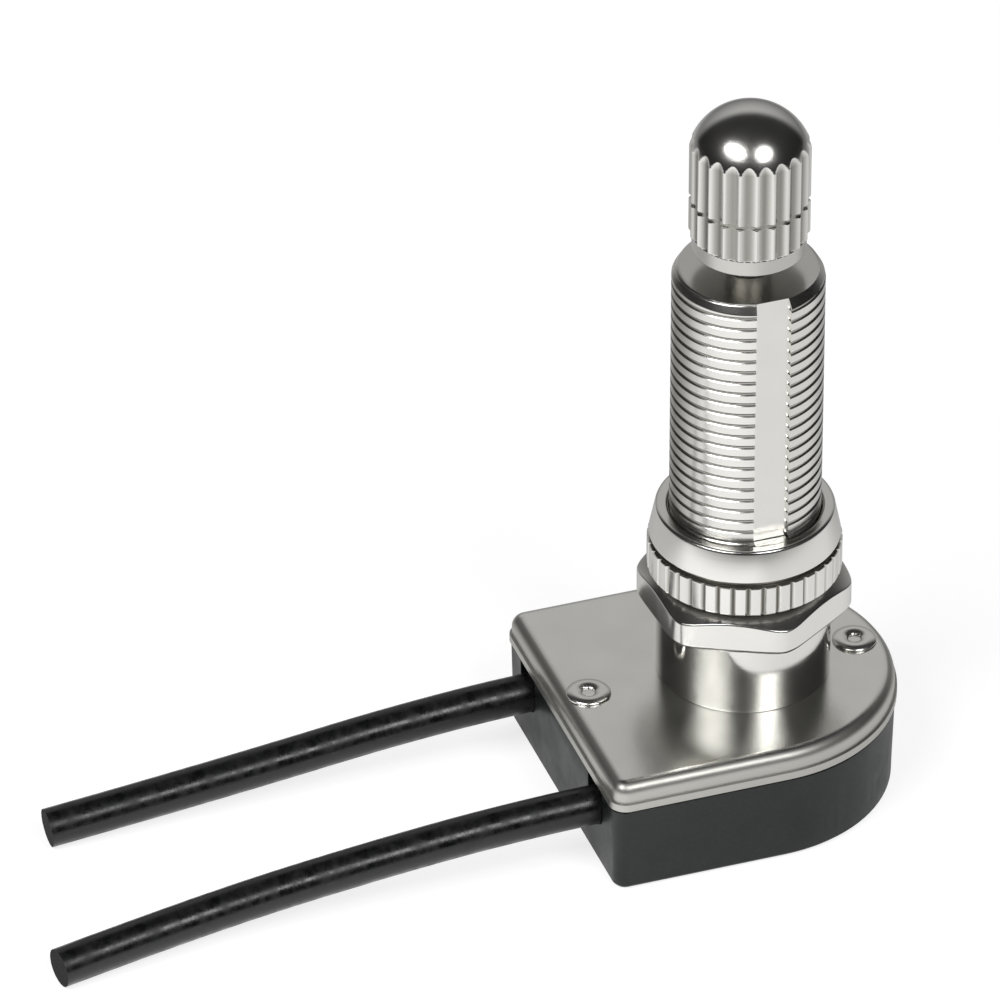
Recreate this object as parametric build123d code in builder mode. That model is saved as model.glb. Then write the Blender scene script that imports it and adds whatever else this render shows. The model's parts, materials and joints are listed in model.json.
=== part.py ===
from build123d import *
import math
import os

os.makedirs("parts", exist_ok=True)

# Rotary lamp switch. The floor of the base is at z = 0, the shaft turns about Z,
# the leads leave towards -X and the round end points to +X. Sizes are millimetres.

# Housing: a moulded base closed by a drawn sheet cover
housing_width = 20.75
housing_height = 8.05
lead_end_distance = 12.25
round_end_centre = -0.675
housing_corner_radius = 1.1
cover_thickness = 0.5
cover_skirt_depth = 1.9
cover_bend = 0.55
skirt_clearance = 0.05
skirt_gap = 0.15
base_inset = 0.12
base_draft = 1.5
base_edge_bevel = 0.3
base_corner_radius = 0.3
base_floor = 1.4
base_wall = 1.0
sheet_thickness = 0.4

# Hollow rivets that hold cover and base together
lead_rivet_inset = 1.95
round_rivet_inset = 2.2
rivet_shank_diameter = 1.8
rivet_hole_diameter = 0.8
rivet_head_diameter = 2.85
rivet_head_height = 0.3
rivet_rim_height = 0.15
rivet_crown_width = 0.3
rivet_foot_diameter = 2.5
rivet_foot_thickness = 0.3
rivet_recess_depth = 0.75
rivet_recess_diameter = 2.7
rivet_clearance = 0.05

# Bushing: polished boss, threaded shank with a keyway, staked into the cover from above
thread_diameter = 9.525
shank_height = 29.95
shank_end_chamfer = 0.45
boss_diameter = 11.0
boss_height = 4.95
boss_chamfer = 0.3
bushing_end_web = 2.5
keyway_width = 2.3
keyway_depth = 0.5
spigot_diameter = 8.4
stake_diameter = 9.2
stake_thickness = 0.45
seat_clearance = 0.02

# Hex nut and knurled ring nut on the thread
nut_clearance = 0.04
nut_seat_gap = 0.02
hex_across_flats = 12.7
hex_thickness = 2.8
hex_top_face_diameter = 11.2
hex_bottom_face_diameter = 13.5
hex_chamfer_angle = 35
ring_thickness = 4.5
ring_diameter = 12.05
ring_top_diameter = 11.3
ring_knurl_diameter = 12.25
ring_groove_height = 2.25
ring_groove_width = 0.4
ring_groove_depth = 0.35
ring_top_chamfer = 0.15
ring_countersink = 0.15
ring_collar_diameter = 11.75
ring_collar_height = 0.25
knurl_count = 40
knurl_depth = 0.2
knurl_land = 0.6

# Knob: two fluted bands with a groove between, a smooth lip below and a low dome on top
knob_diameter = 7.5
knob_gap = 1.5
knob_lip_height = 1.15
knob_lip_diameter = 7.1
knob_lower_band = 2.4
knob_upper_band = 3.75
knob_dome_rise = 2.7
knob_groove_width = 0.3
knob_groove_depth = 0.2
flute_count = 22
flute_depth = 0.25
flute_floor_width = 0.45
flute_land = 0.12
flute_phase = 3.2
knob_socket_depth = 5.5

# Shaft, its neck that carries the knob, and what holds it
shaft_diameter = 4.75
neck_diameter = 2.85
shaft_clearance = 0.04
pivot_diameter = 2.0
pivot_depth = 0.6
pivot_end_play = 0.1
drive_square = 3.2
shaft_tip_chamfer = 0.3
washer_diameter = 8.0
washer_thickness = 0.3
clip_diameter = 7.4
clip_thickness = 0.4
clip_groove_depth = 0.5
clip_opening = 3.0
axial_play = 0.05

# Switch mechanism inside the base
cavity_diameter = 11.8
rotor_floor_gap = 0.3
rotor_diameter = 8.8
rotor_disc_thickness = 1.8
rotor_height = 4.1
cam_across_flats = 5.6
cam_corner_radius = 0.5
bridge_reach = 5.0
bridge_arm_width = 1.8
bridge_hub_diameter = 6.0
bridge_thickness = 0.5
press_clearance = 0.02
contact_gap = 0.1
spring_thickness = 0.2
spring_height = 1.7
spring_length = 11.4
spring_slot_clearance = 0.05
spring_cam_gap = 0.05
spring_above_disc = 0.25
terminal_thickness = 0.4
terminal_height = 4.2
terminal_blade_height = 2.4
terminal_blade_end = 1.3
terminal_shoulder = 4.5
terminal_tab_distance = 8.0
pocket_clearance = 0.15
pocket_blade_room = 0.6

# Leads: the wire passes the end wall in a U slot and its copper goes through the terminal's tab
lead_diameter = 2.5
lead_side_inset = 4.025
lead_height = 4.27
lead_slot_clearance = 0.05
lead_inner_length = 2.15
end_wall = 1.7
conductor_diameter = 1.1
conductor_length = 3.0
conductor_clearance = 0.05

# Heights that several pieces share
cover_top = housing_height
cover_underside = cover_top - cover_thickness
skirt_bottom = cover_top - cover_skirt_depth
base_top = cover_underside - sheet_thickness
rebate_height = skirt_bottom - skirt_gap
boss_top = cover_top + boss_height
shank_top = cover_top + shank_height
hex_bottom = boss_top + nut_seat_gap
hex_top = hex_bottom + hex_thickness
ring_bottom = hex_top + nut_seat_gap
ring_top = ring_bottom + ring_thickness
knob_bottom = shank_top + knob_gap
lip_top = knob_bottom + knob_lip_height
knob_groove = lip_top + knob_lower_band
knob_rim = knob_groove + knob_upper_band
knob_top = knob_rim + knob_dome_rise
socket_top = knob_bottom + knob_socket_depth
web_bottom = shank_top - bushing_end_web
stake_bottom = cover_underside - stake_thickness
washer_bottom = stake_bottom - axial_play - washer_thickness
clip_bottom = washer_bottom - axial_play - clip_thickness
rotor_bottom = base_floor + rotor_floor_gap
rotor_disc_top = rotor_bottom + rotor_disc_thickness
rotor_top = rotor_bottom + rotor_height
spring_bottom = rotor_disc_top + spring_above_disc

# Radii and places that several pieces share
half_width = housing_width / 2
rebate_inset = cover_thickness + skirt_clearance
inner_bend = cover_bend - (2 - math.sqrt(2)) * cover_thickness
round_end = half_width + round_end_centre
thread_radius = thread_diameter / 2
nut_bore_radius = thread_radius + nut_clearance
shaft_radius = shaft_diameter / 2
neck_radius = neck_diameter / 2
knob_radius = knob_diameter / 2
cavity_radius = cavity_diameter / 2
lead_offset = half_width - lead_side_inset
terminal_inner = bridge_reach + contact_gap
pocket_inner = min(terminal_inner, lead_offset - conductor_diameter / 2) - pocket_clearance
pocket_outer = half_width - rebate_inset - base_wall
pocket_start = -lead_end_distance + end_wall
pocket_end = terminal_blade_end + pocket_blade_room
spring_face = cam_across_flats / 2 + spring_cam_gap
lead_inner_end = -lead_end_distance + lead_inner_length
rivet_places = {
    "rivet_lead_end": -lead_end_distance + lead_rivet_inset,
    "rivet_round_end": round_end - round_rivet_inset,
}
sides = {"front": -1, "rear": 1}


def housing_plan(inset):
    """Plan of the housing: straight at the lead end, half a circle at the other."""
    reach = half_width - inset
    end = -lead_end_distance + inset
    with BuildSketch() as plan:
        with BuildLine():
            Polyline((round_end_centre, reach), (end, reach), (end, -reach), (round_end_centre, -reach))
            ThreePointArc((round_end_centre, -reach), (round_end - inset, 0), (round_end_centre, reach))
        make_face()
        fillet(plan.vertices().group_by(Axis.X)[0], max(housing_corner_radius - inset, base_corner_radius))
    return plan.sketch


# Cover: a shallow drawn lid with holes for the bushing and the rivets
with BuildPart() as cover_plate:
    with BuildSketch(Plane.XY.offset(skirt_bottom)):
        add(housing_plan(0))
    extrude(amount=cover_skirt_depth)
    chamfer(cover_plate.edges().group_by(Axis.Z)[-1], cover_bend)
    with BuildSketch(Plane.XY.offset(skirt_bottom)):
        add(housing_plan(cover_thickness))
    extrude(amount=cover_skirt_depth - cover_thickness, mode=Mode.SUBTRACT)
    underside = cover_plate.faces().filter_by(Axis.Z).sort_by(Axis.Z)[-2]
    chamfer(underside.edges(), inner_bend)
    with Locations((0, 0, cover_top)):
        Hole(spigot_diameter / 2 + seat_clearance)
    with Locations([(x, 0, cover_top) for x in rivet_places.values()]):
        Hole(rivet_shank_diameter / 2 + rivet_clearance)
cover_plate.part.label = "cover_plate"
export_step(cover_plate.part, "parts/cover_plate.step")

# Fibre sheet that keeps the live parts off the cover
with BuildPart() as insulating_sheet:
    with BuildSketch(Plane.XY.offset(base_top)):
        add(housing_plan(rebate_inset + inner_bend))
        Circle(stake_diameter / 2 + skirt_clearance, mode=Mode.SUBTRACT)
        with Locations([(x, 0) for x in rivet_places.values()]):
            Circle(rivet_shank_diameter / 2 + rivet_clearance, mode=Mode.SUBTRACT)
    extrude(amount=sheet_thickness)
insulating_sheet.part.label = "insulating_sheet"
export_step(insulating_sheet.part, "parts/insulating_sheet.step")

# Base: a moulded tray that narrows to its floor, with a rebate for the skirt, a cavity and two pockets
with BuildPart() as base:
    with BuildSketch(Plane.XY.offset(rebate_height)):
        add(housing_plan(base_inset))
    extrude(amount=-rebate_height, taper=base_draft)
    chamfer(base.edges().group_by(Axis.Z)[0], base_edge_bevel)
    with BuildSketch(Plane.XY.offset(rebate_height)):
        add(housing_plan(rebate_inset))
    extrude(amount=base_top - rebate_height)
    with BuildSketch(Plane.XY.offset(base_floor)):
        Circle(cavity_radius)
        for side in sides.values():
            with Locations(((pocket_start + pocket_end) / 2, side * (pocket_inner + pocket_outer) / 2)):
                Rectangle(pocket_end - pocket_start, pocket_outer - pocket_inner)
    extrude(amount=base_top - base_floor, mode=Mode.SUBTRACT)
    # U slots that let the leads through the end wall, open at the top until the cover closes them
    slot_radius = lead_diameter / 2 + lead_slot_clearance
    with BuildSketch(Plane.YZ.offset(-lead_end_distance)):
        with Locations([(side * lead_offset, lead_height) for side in sides.values()]):
            Circle(slot_radius)
            Rectangle(2 * slot_radius, base_top - lead_height, align=(Align.CENTER, Align.MIN))
    extrude(amount=end_wall, mode=Mode.SUBTRACT)
    # Grooves in the cavity wall for the ends of the leaf spring
    with BuildSketch(Plane.XY.offset(spring_bottom)):
        with Locations((spring_face - spring_slot_clearance, 0)):
            Rectangle(
                spring_thickness + 2 * spring_slot_clearance,
                spring_length + 2 * spring_slot_clearance,
                align=(Align.MIN, Align.CENTER),
            )
    extrude(amount=base_top - spring_bottom, mode=Mode.SUBTRACT)
    # Bearing for the lower end of the shaft
    with BuildSketch(Plane.XY.offset(base_floor)):
        Circle(pivot_diameter / 2 + shaft_clearance)
    extrude(amount=-pivot_depth - pivot_end_play, mode=Mode.SUBTRACT)
    with Locations([(x, 0, 0) for x in rivet_places.values()]):
        Hole(rivet_shank_diameter / 2 + rivet_clearance)
    with BuildSketch():
        with Locations([(x, 0) for x in rivet_places.values()]):
            Circle(rivet_recess_diameter / 2)
    extrude(amount=rivet_recess_depth, mode=Mode.SUBTRACT)
base.part.label = "base"
export_step(base.part, "parts/base.step")

# Hollow rivets: a flat foot in the recess of the base, a tube, and a rolled head on the cover
for name, x in rivet_places.items():
    with BuildPart() as rivet:
        with BuildSketch(Plane.XZ.move(Location((x, 0, 0)))):
            hole = rivet_hole_diameter / 2
            shank = rivet_shank_diameter / 2
            head = rivet_head_diameter / 2
            foot = rivet_foot_diameter / 2
            foot_bottom = rivet_recess_depth - rivet_foot_thickness
            crown = (hole + head) / 2
            with BuildLine():
                Polyline(
                    (hole, cover_top),
                    (hole, foot_bottom),
                    (foot, foot_bottom),
                    (foot, rivet_recess_depth),
                    (shank, rivet_recess_depth),
                    (shank, cover_top),
                    (head, cover_top),
                    (head, cover_top + rivet_rim_height),
                    (crown + rivet_crown_width / 2, cover_top + rivet_head_height),
                    (crown - rivet_crown_width / 2, cover_top + rivet_head_height),
                    close=True,
                )
            make_face()
        revolve(axis=Axis((x, 0, 0), (0, 0, 1)))
    rivet.part.label = name
    export_step(rivet.part, f"parts/{name}.step")

# Bushing: one turned piece, staked under the cover
with BuildPart() as bushing:
    with BuildSketch(Plane.XZ):
        bore = shaft_radius + shaft_clearance
        neck_bore = neck_radius + shaft_clearance
        boss = boss_diameter / 2
        with BuildLine():
            Polyline(
                (bore, stake_bottom),
                (stake_diameter / 2, stake_bottom),
                (stake_diameter / 2, cover_underside),
                (spigot_diameter / 2, cover_underside),
                (spigot_diameter / 2, cover_top),
                (boss, cover_top),
                (boss, boss_top - boss_chamfer),
                (boss - boss_chamfer, boss_top),
                (thread_radius, boss_top),
                (thread_radius, shank_top - shank_end_chamfer),
                (thread_radius - shank_end_chamfer, shank_top),
                (neck_bore, shank_top),
                (neck_bore, web_bottom),
                (bore, web_bottom),
                close=True,
            )
        make_face()
    revolve(axis=Axis.Z)
    # Flat-bottomed keyway along the thread, on the side that faces -Y
    with BuildSketch(Plane.XY.offset(boss_top)):
        with Locations((0, -thread_radius + keyway_depth)):
            Rectangle(keyway_width, 2 * keyway_depth, align=(Align.CENTER, Align.MAX))
    extrude(amount=shank_top - boss_top, mode=Mode.SUBTRACT)
bushing.part.label = "bushing"
export_step(bushing.part, "parts/bushing.step")

# Hex nut: a prism with a corner towards -Y, its ends turned to cones
with BuildPart() as hex_nut:
    with BuildSketch(Plane.XY.offset(hex_bottom)):
        RegularPolygon(hex_across_flats / 2, 6, major_radius=False, rotation=30)
        Circle(nut_bore_radius, mode=Mode.SUBTRACT)
    extrude(amount=hex_thickness)
    with BuildSketch(Plane.XZ):
        corner = hex_across_flats / math.sqrt(3)
        slope = math.tan(math.radians(hex_chamfer_angle))
        top_face = hex_top_face_diameter / 2
        bottom_face = hex_bottom_face_diameter / 2
        with BuildLine():
            Polyline(
                (0, hex_bottom),
                (bottom_face, hex_bottom),
                (corner, hex_bottom + (corner - bottom_face) * slope),
                (corner, hex_top - (corner - top_face) * slope),
                (top_face, hex_top),
                (0, hex_top),
                close=True,
            )
        make_face()
    revolve(axis=Axis.Z, mode=Mode.INTERSECT)
hex_nut.part.label = "hex_nut"
export_step(hex_nut.part, "parts/hex_nut.step")

# Ring nut: a smooth cone above the groove, straight knurl below it
with BuildPart() as ring_nut:
    with BuildSketch(Plane.XZ):
        smooth = ring_diameter / 2
        smooth_top = ring_top_diameter / 2
        knurled = ring_knurl_diameter / 2
        groove = ring_bottom + ring_groove_height
        top_wall = smooth_top - nut_bore_radius
        top_chamfer = min(ring_top_chamfer, top_wall / 3)
        countersink = min(ring_countersink, top_wall / 3)
        with BuildLine():
            Polyline(
                (nut_bore_radius, ring_bottom),
                (ring_collar_diameter / 2, ring_bottom),
                (ring_collar_diameter / 2, ring_bottom + ring_collar_height),
                (knurled, ring_bottom + ring_collar_height),
                (knurled, groove - ring_groove_width / 2),
                (smooth - ring_groove_depth, groove - ring_groove_width / 2),
                (smooth - ring_groove_depth, groove + ring_groove_width / 2),
                (smooth, groove + ring_groove_width / 2),
                (smooth_top, ring_top - top_chamfer),
                (smooth_top - top_chamfer, ring_top),
                (nut_bore_radius + countersink, ring_top),
                (nut_bore_radius, ring_top - countersink),
                close=True,
            )
        make_face()
    revolve(axis=Axis.Z)
    # V cuts of the straight knurl, drawn to twice their depth so that they pass the outer face
    knurl_half_width = math.pi * knurled / knurl_count - knurl_land / 2
    cut_depth = 2 * knurl_depth
    cut_half_width = 2 * knurl_half_width
    with BuildSketch(Plane.XY.offset(ring_bottom)):
        with PolarLocations(knurled - knurl_depth, knurl_count):
            Polygon((0, 0), (cut_depth, cut_half_width), (cut_depth, -cut_half_width), align=None)
    extrude(amount=ring_groove_height, mode=Mode.SUBTRACT)
ring_nut.part.label = "ring_nut"
export_step(ring_nut.part, "parts/ring_nut.step")

# Knob: turned blank with a dome, bored for the neck of the shaft, then fluted above the lip
with BuildPart() as knob:
    with BuildSketch(Plane.XZ):
        socket = neck_radius + press_clearance
        dome_radius = (knob_radius**2 + knob_dome_rise**2) / (2 * knob_dome_rise)
        with BuildLine():
            Polyline(
                (0, knob_top),
                (0, socket_top),
                (socket, socket_top),
                (socket, knob_bottom),
                (knob_lip_diameter / 2, knob_bottom),
                (knob_lip_diameter / 2, lip_top),
                (knob_radius, lip_top),
                (knob_radius, knob_groove - knob_groove_width / 2),
                (knob_radius - knob_groove_depth, knob_groove - knob_groove_width / 2),
                (knob_radius - knob_groove_depth, knob_groove + knob_groove_width / 2),
                (knob_radius, knob_groove + knob_groove_width / 2),
                (knob_radius, knob_rim),
            )
            RadiusArc((knob_radius, knob_rim), (0, knob_top), -dome_radius)
        make_face()
    revolve(axis=Axis.Z)
    # Flutes with a flat floor, drawn to twice their depth so that they pass the outer face
    flute_half_width = math.pi * knob_radius / flute_count - flute_land / 2
    floor_half_width = flute_floor_width / 2
    mouth_half_width = 2 * flute_half_width - floor_half_width
    with BuildSketch(Plane.XY.offset(lip_top)):
        with PolarLocations(knob_radius - flute_depth, flute_count, start_angle=flute_phase):
            Polygon(
                (0, floor_half_width),
                (0, -floor_half_width),
                (2 * flute_depth, -mouth_half_width),
                (2 * flute_depth, mouth_half_width),
                align=None,
            )
    extrude(amount=knob_top - lip_top, mode=Mode.SUBTRACT)
knob.part.label = "knob"
export_step(knob.part, "parts/knob.step")

# Shaft: pivot, square for the rotor, round through the bushing, thin neck in the knob
with BuildPart() as shaft:
    with BuildSketch(Plane.XY.offset(base_floor - pivot_depth)):
        Circle(pivot_diameter / 2)
    extrude(amount=rotor_bottom - base_floor + pivot_depth)
    with BuildSketch(Plane.XY.offset(rotor_bottom)):
        Rectangle(drive_square, drive_square)
    extrude(amount=rotor_height)
    with BuildSketch(Plane.XY.offset(rotor_top)):
        Circle(shaft_radius)
    extrude(amount=web_bottom - axial_play - rotor_top)
    with BuildSketch(Plane.XY.offset(web_bottom - axial_play)):
        Circle(neck_radius)
    extrude(amount=socket_top - web_bottom + axial_play)
    chamfer(shaft.edges().group_by(Axis.Z)[-1], shaft_tip_chamfer)
    with BuildSketch(Plane.XY.offset(clip_bottom - press_clearance)):
        Circle(shaft_radius)
        Circle(shaft_radius - clip_groove_depth, mode=Mode.SUBTRACT)
    extrude(amount=clip_thickness + 2 * press_clearance, mode=Mode.SUBTRACT)
shaft.part.label = "shaft"
export_step(shaft.part, "parts/shaft.step")

# Thrust washer under the bushing and the open clip in the groove of the shaft
with BuildPart() as thrust_washer:
    with BuildSketch(Plane.XY.offset(washer_bottom)):
        Circle(washer_diameter / 2)
        Circle(shaft_radius + shaft_clearance, mode=Mode.SUBTRACT)
    extrude(amount=washer_thickness)
thrust_washer.part.label = "thrust_washer"
export_step(thrust_washer.part, "parts/thrust_washer.step")

with BuildPart() as retaining_ring:
    with BuildSketch(Plane.XY.offset(clip_bottom)):
        Circle(clip_diameter / 2)
        Circle(shaft_radius - clip_groove_depth + press_clearance, mode=Mode.SUBTRACT)
        Rectangle(clip_diameter, clip_opening, align=(Align.MIN, Align.CENTER), mode=Mode.SUBTRACT)
    extrude(amount=clip_thickness)
retaining_ring.part.label = "retaining_ring"
export_step(retaining_ring.part, "parts/retaining_ring.step")


def bridge_plan(clearance):
    """Plan of the moving contact: a hub with two arms, rounded at the tips by the sweep of a turn."""
    with BuildSketch() as plan:
        Circle(bridge_hub_diameter / 2 + clearance)
        Rectangle(2 * bridge_reach, bridge_arm_width + 2 * clearance)
        Circle(bridge_reach, mode=Mode.INTERSECT)
    return plan.sketch


# Rotor: contact carrier below, four-sided cam above, square hole for the shaft
with BuildPart() as rotor:
    with BuildSketch(Plane.XY.offset(rotor_bottom)):
        Circle(rotor_diameter / 2)
    extrude(amount=rotor_disc_thickness)
    with BuildSketch(Plane.XY.offset(rotor_disc_top)):
        RectangleRounded(cam_across_flats, cam_across_flats, cam_corner_radius)
    extrude(amount=rotor_top - rotor_disc_top)
    with BuildSketch(Plane.XY.offset(rotor_bottom)):
        add(bridge_plan(press_clearance))
    extrude(amount=bridge_thickness, mode=Mode.SUBTRACT)
    with BuildSketch(Plane.XY.offset(rotor_bottom)):
        Rectangle(drive_square + 2 * press_clearance, drive_square + 2 * press_clearance)
    extrude(amount=rotor_height, mode=Mode.SUBTRACT)
rotor.part.label = "rotor"
export_step(rotor.part, "parts/rotor.step")

# Moving contact in the underside of the rotor
with BuildPart() as bridge_contact:
    with BuildSketch(Plane.XY.offset(rotor_bottom)):
        add(bridge_plan(0))
        Rectangle(drive_square + 2 * press_clearance, drive_square + 2 * press_clearance, mode=Mode.SUBTRACT)
    extrude(amount=bridge_thickness)
bridge_contact.part.label = "bridge_contact"
export_step(bridge_contact.part, "parts/bridge_contact.step")

# Leaf spring along one flat of the cam, its ends in the grooves of the base
with BuildPart() as detent_spring:
    with BuildSketch(Plane.XY.offset(spring_bottom)):
        with Locations((spring_face, 0)):
            Rectangle(spring_thickness, spring_length, align=(Align.MIN, Align.CENTER))
    extrude(amount=spring_height)
detent_spring.part.label = "detent_spring"
export_step(detent_spring.part, "parts/detent_spring.step")

# Terminals: an upright strip with a blade beside the rotor and a tab across the wire
for name, side in sides.items():
    tab = -terminal_tab_distance
    tab_reach = pocket_outer - pocket_clearance
    with BuildPart() as terminal:
        with BuildSketch(Plane.XY.offset(base_floor)):
            with BuildLine():
                Polyline(
                    (terminal_blade_end, side * terminal_inner),
                    (tab, side * terminal_inner),
                    (tab, side * tab_reach),
                    (tab + terminal_thickness, side * tab_reach),
                    (tab + terminal_thickness, side * (terminal_inner + terminal_thickness)),
                    (terminal_blade_end, side * (terminal_inner + terminal_thickness)),
                    close=True,
                )
            make_face()
        extrude(amount=terminal_height)
        with BuildSketch(Plane.XY.offset(base_floor + terminal_blade_height)):
            with Locations((-terminal_shoulder, side * terminal_inner)):
                Rectangle(
                    terminal_shoulder + terminal_blade_end,
                    2 * terminal_thickness,
                    align=(Align.MIN, Align.CENTER),
                )
        extrude(amount=terminal_height - terminal_blade_height, mode=Mode.SUBTRACT)
        with Locations(Plane((tab, side * lead_offset, lead_height), z_dir=(-1, 0, 0))):
            Hole(conductor_diameter / 2 + conductor_clearance, depth=2 * terminal_thickness)
    terminal.part.label = f"terminal_{name}"
    export_step(terminal.part, f"parts/terminal_{name}.step")

# Stripped copper from the end of each lead through the tab
for name, side in sides.items():
    with BuildPart() as conductor:
        with BuildSketch(Plane.YZ.offset(lead_inner_end)):
            with Locations((side * lead_offset, lead_height)):
                Circle(conductor_diameter / 2)
        extrude(amount=conductor_length)
    conductor.part.label = f"conductor_{name}"
    export_step(conductor.part, f"parts/conductor_{name}.step")

# Routes of the leads, from inside the end wall down to the surface that the switch stands on
lead_routes = {
    "front": [
        (lead_inner_end, -lead_offset, lead_height),
        (-17.5, -lead_offset, lead_height),
        (-30.5, -lead_offset - 0.01, 3.00),
        (-39.5, -lead_offset - 0.15, 1.76),
        (-47.7, -lead_offset - 1.50, 1.28),
    ],
    "rear": [
        (lead_inner_end, lead_offset, lead_height),
        (-17.0, lead_offset, lead_height),
        (-34.0, lead_offset + 0.01, 2.20),
        (-44.0, lead_offset, 1.28),
    ],
}
arc_share = 0.45

for name, points in lead_routes.items():
    corners = [Vector(*point) for point in points]
    runs = [after - before for before, after in zip(corners, corners[1:])]
    radii = []
    for before, after in zip(runs, runs[1:]):
        half_turn = math.radians(before.get_angle(after)) / 2
        radii.append(arc_share * min(before.length, after.length) / math.tan(half_turn))
    with BuildPart() as lead:
        with BuildLine():
            route = FilletPolyline(*points, radius=radii)
        with BuildSketch(Plane(corners[0], z_dir=runs[0])):
            Circle(lead_diameter / 2)
        sweep(path=route)
    lead.part.label = f"lead_{name}"
    export_step(lead.part, f"parts/lead_{name}.step")
    expected = math.pi * lead_diameter**2 / 4 * route.length
    print(f"lead_{name}: length {route.length:.2f}, radii", [round(radius, 1) for radius in radii])
    print(f"lead_{name}: volume {lead.part.volume:.3f}, section times length {expected:.3f}")
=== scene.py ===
# %% [markdown]
# A rotary lamp switch. The imported CAD model is the fixed frame: it says where every piece is and what
# moves. This lesson dresses it, piece by piece, and every cell prints what it made, so that you can
# follow along in Blender's text editor. The frame is loaded first.

# %% Load the imported switch
import json
import math

import bmesh
import bpy
from mathutils import Matrix, Vector


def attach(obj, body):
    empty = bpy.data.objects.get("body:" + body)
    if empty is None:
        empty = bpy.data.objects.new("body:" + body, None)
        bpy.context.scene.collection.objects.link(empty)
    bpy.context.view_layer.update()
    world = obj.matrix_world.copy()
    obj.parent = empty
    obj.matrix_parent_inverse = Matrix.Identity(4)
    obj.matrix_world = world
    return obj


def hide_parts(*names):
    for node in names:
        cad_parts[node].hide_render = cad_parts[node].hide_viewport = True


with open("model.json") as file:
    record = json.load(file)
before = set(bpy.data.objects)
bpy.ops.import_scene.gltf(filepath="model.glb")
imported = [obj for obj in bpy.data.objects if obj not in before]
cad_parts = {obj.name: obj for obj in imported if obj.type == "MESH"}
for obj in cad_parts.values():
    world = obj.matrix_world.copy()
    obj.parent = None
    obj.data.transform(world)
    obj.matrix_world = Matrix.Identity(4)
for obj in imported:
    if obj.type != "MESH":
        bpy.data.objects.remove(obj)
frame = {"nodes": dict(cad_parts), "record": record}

MM = 0.001
scene = bpy.context.scene
nodes = frame["nodes"]
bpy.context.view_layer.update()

# %% [markdown]
# The camera comes first. The switch was photographed with a long lens from above and a little from the
# left, so lines hardly converge. Its place and its axes were worked out from the outline of the switch,
# and they are written here in the frame of the CAD model.

# %% Camera
IMAGE_HEIGHT_PX = 1001
FOCAL_PX = 12000
SENSOR_MM = 36
camera_place = Vector((-217.354, -576.456, 445.390)) * MM
camera_right = Vector((0.94433, -0.32899, 0.00075))
camera_back = Vector((-0.27118, -0.77710, 0.56796))
camera_up = camera_back.cross(camera_right)

camera = bpy.data.objects.new("camera", bpy.data.cameras.new("camera"))
camera.data.sensor_width = SENSOR_MM
camera.data.lens = FOCAL_PX * SENSOR_MM / IMAGE_HEIGHT_PX
camera.data.clip_start, camera.data.clip_end = 0.05, 20
axes = Matrix((camera_right, camera_up, camera_back)).transposed()
camera.matrix_world = Matrix.Translation(camera_place) @ axes.to_4x4()
scene.collection.objects.link(camera)
scene.camera = camera
print("lens", round(camera.data.lens, 1), "mm, distance", round(camera_place.length, 3), "m")

# %% [markdown]
# Four small helpers serve every finish and every node tree. `linear` turns a colour as a painter writes
# it, in sRGB hex, to the linear values that Blender's sockets take. `fill` gives the inputs of a node
# their values, or links to nodes that are already there. `put` adds one node to a tree, sets its
# properties and fills its inputs. `new_finish` starts a material, with the plain values on the shader's
# own sockets. The kinds of node that come up most get short names.

# %% Helpers for node trees
MATH, MAP_RANGE, MIX, BUMP = "ShaderNodeMath", "ShaderNodeMapRange", "ShaderNodeMix", "ShaderNodeBump"
NOISE, PLACE = "ShaderNodeTexNoise", "ShaderNodeTexCoord"
COMBINE, SEPARATE = "ShaderNodeCombineXYZ", "ShaderNodeSeparateXYZ"


def linear(colour):
    """An sRGB hex colour as linear RGBA."""
    parts = [int(colour[i : i + 2], 16) / 255 for i in (1, 3, 5)]
    return [c / 12.92 if c <= 0.04045 else ((c + 0.055) / 1.055) ** 2.4 for c in parts] + [1.0]


def fill(tree, node, inputs):
    """Fills inputs. Each takes a value, a node (its first output), a socket, or a list of nodes."""
    for name, source in inputs.items():
        several = source if isinstance(source, list) else [source]
        if isinstance(several[0], (bpy.types.Node, bpy.types.NodeSocket)):
            for one in several:
                tree.links.new(one.outputs[0] if isinstance(one, bpy.types.Node) else one, node.inputs[name])
        else:
            node.inputs[name].default_value = source


def put(tree, kind, inputs=None, **settings):
    """Adds a node to the tree, sets its properties and fills its inputs."""
    node = tree.nodes.new(kind)
    for name, value in settings.items():
        setattr(node, name, value)
    fill(tree, node, inputs or {})
    return node


def new_finish(name, colour, metallic, roughness):
    """A material, its tree and its Principled shader."""
    material = bpy.data.materials.new(name)
    material.use_nodes = True
    tree = material.node_tree
    shader = tree.nodes["Principled BSDF"]
    fill(tree, shader, {"Base Color": linear(colour), "Metallic": metallic, "Roughness": roughness})
    return material, tree, shader


print("helpers ready")
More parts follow.
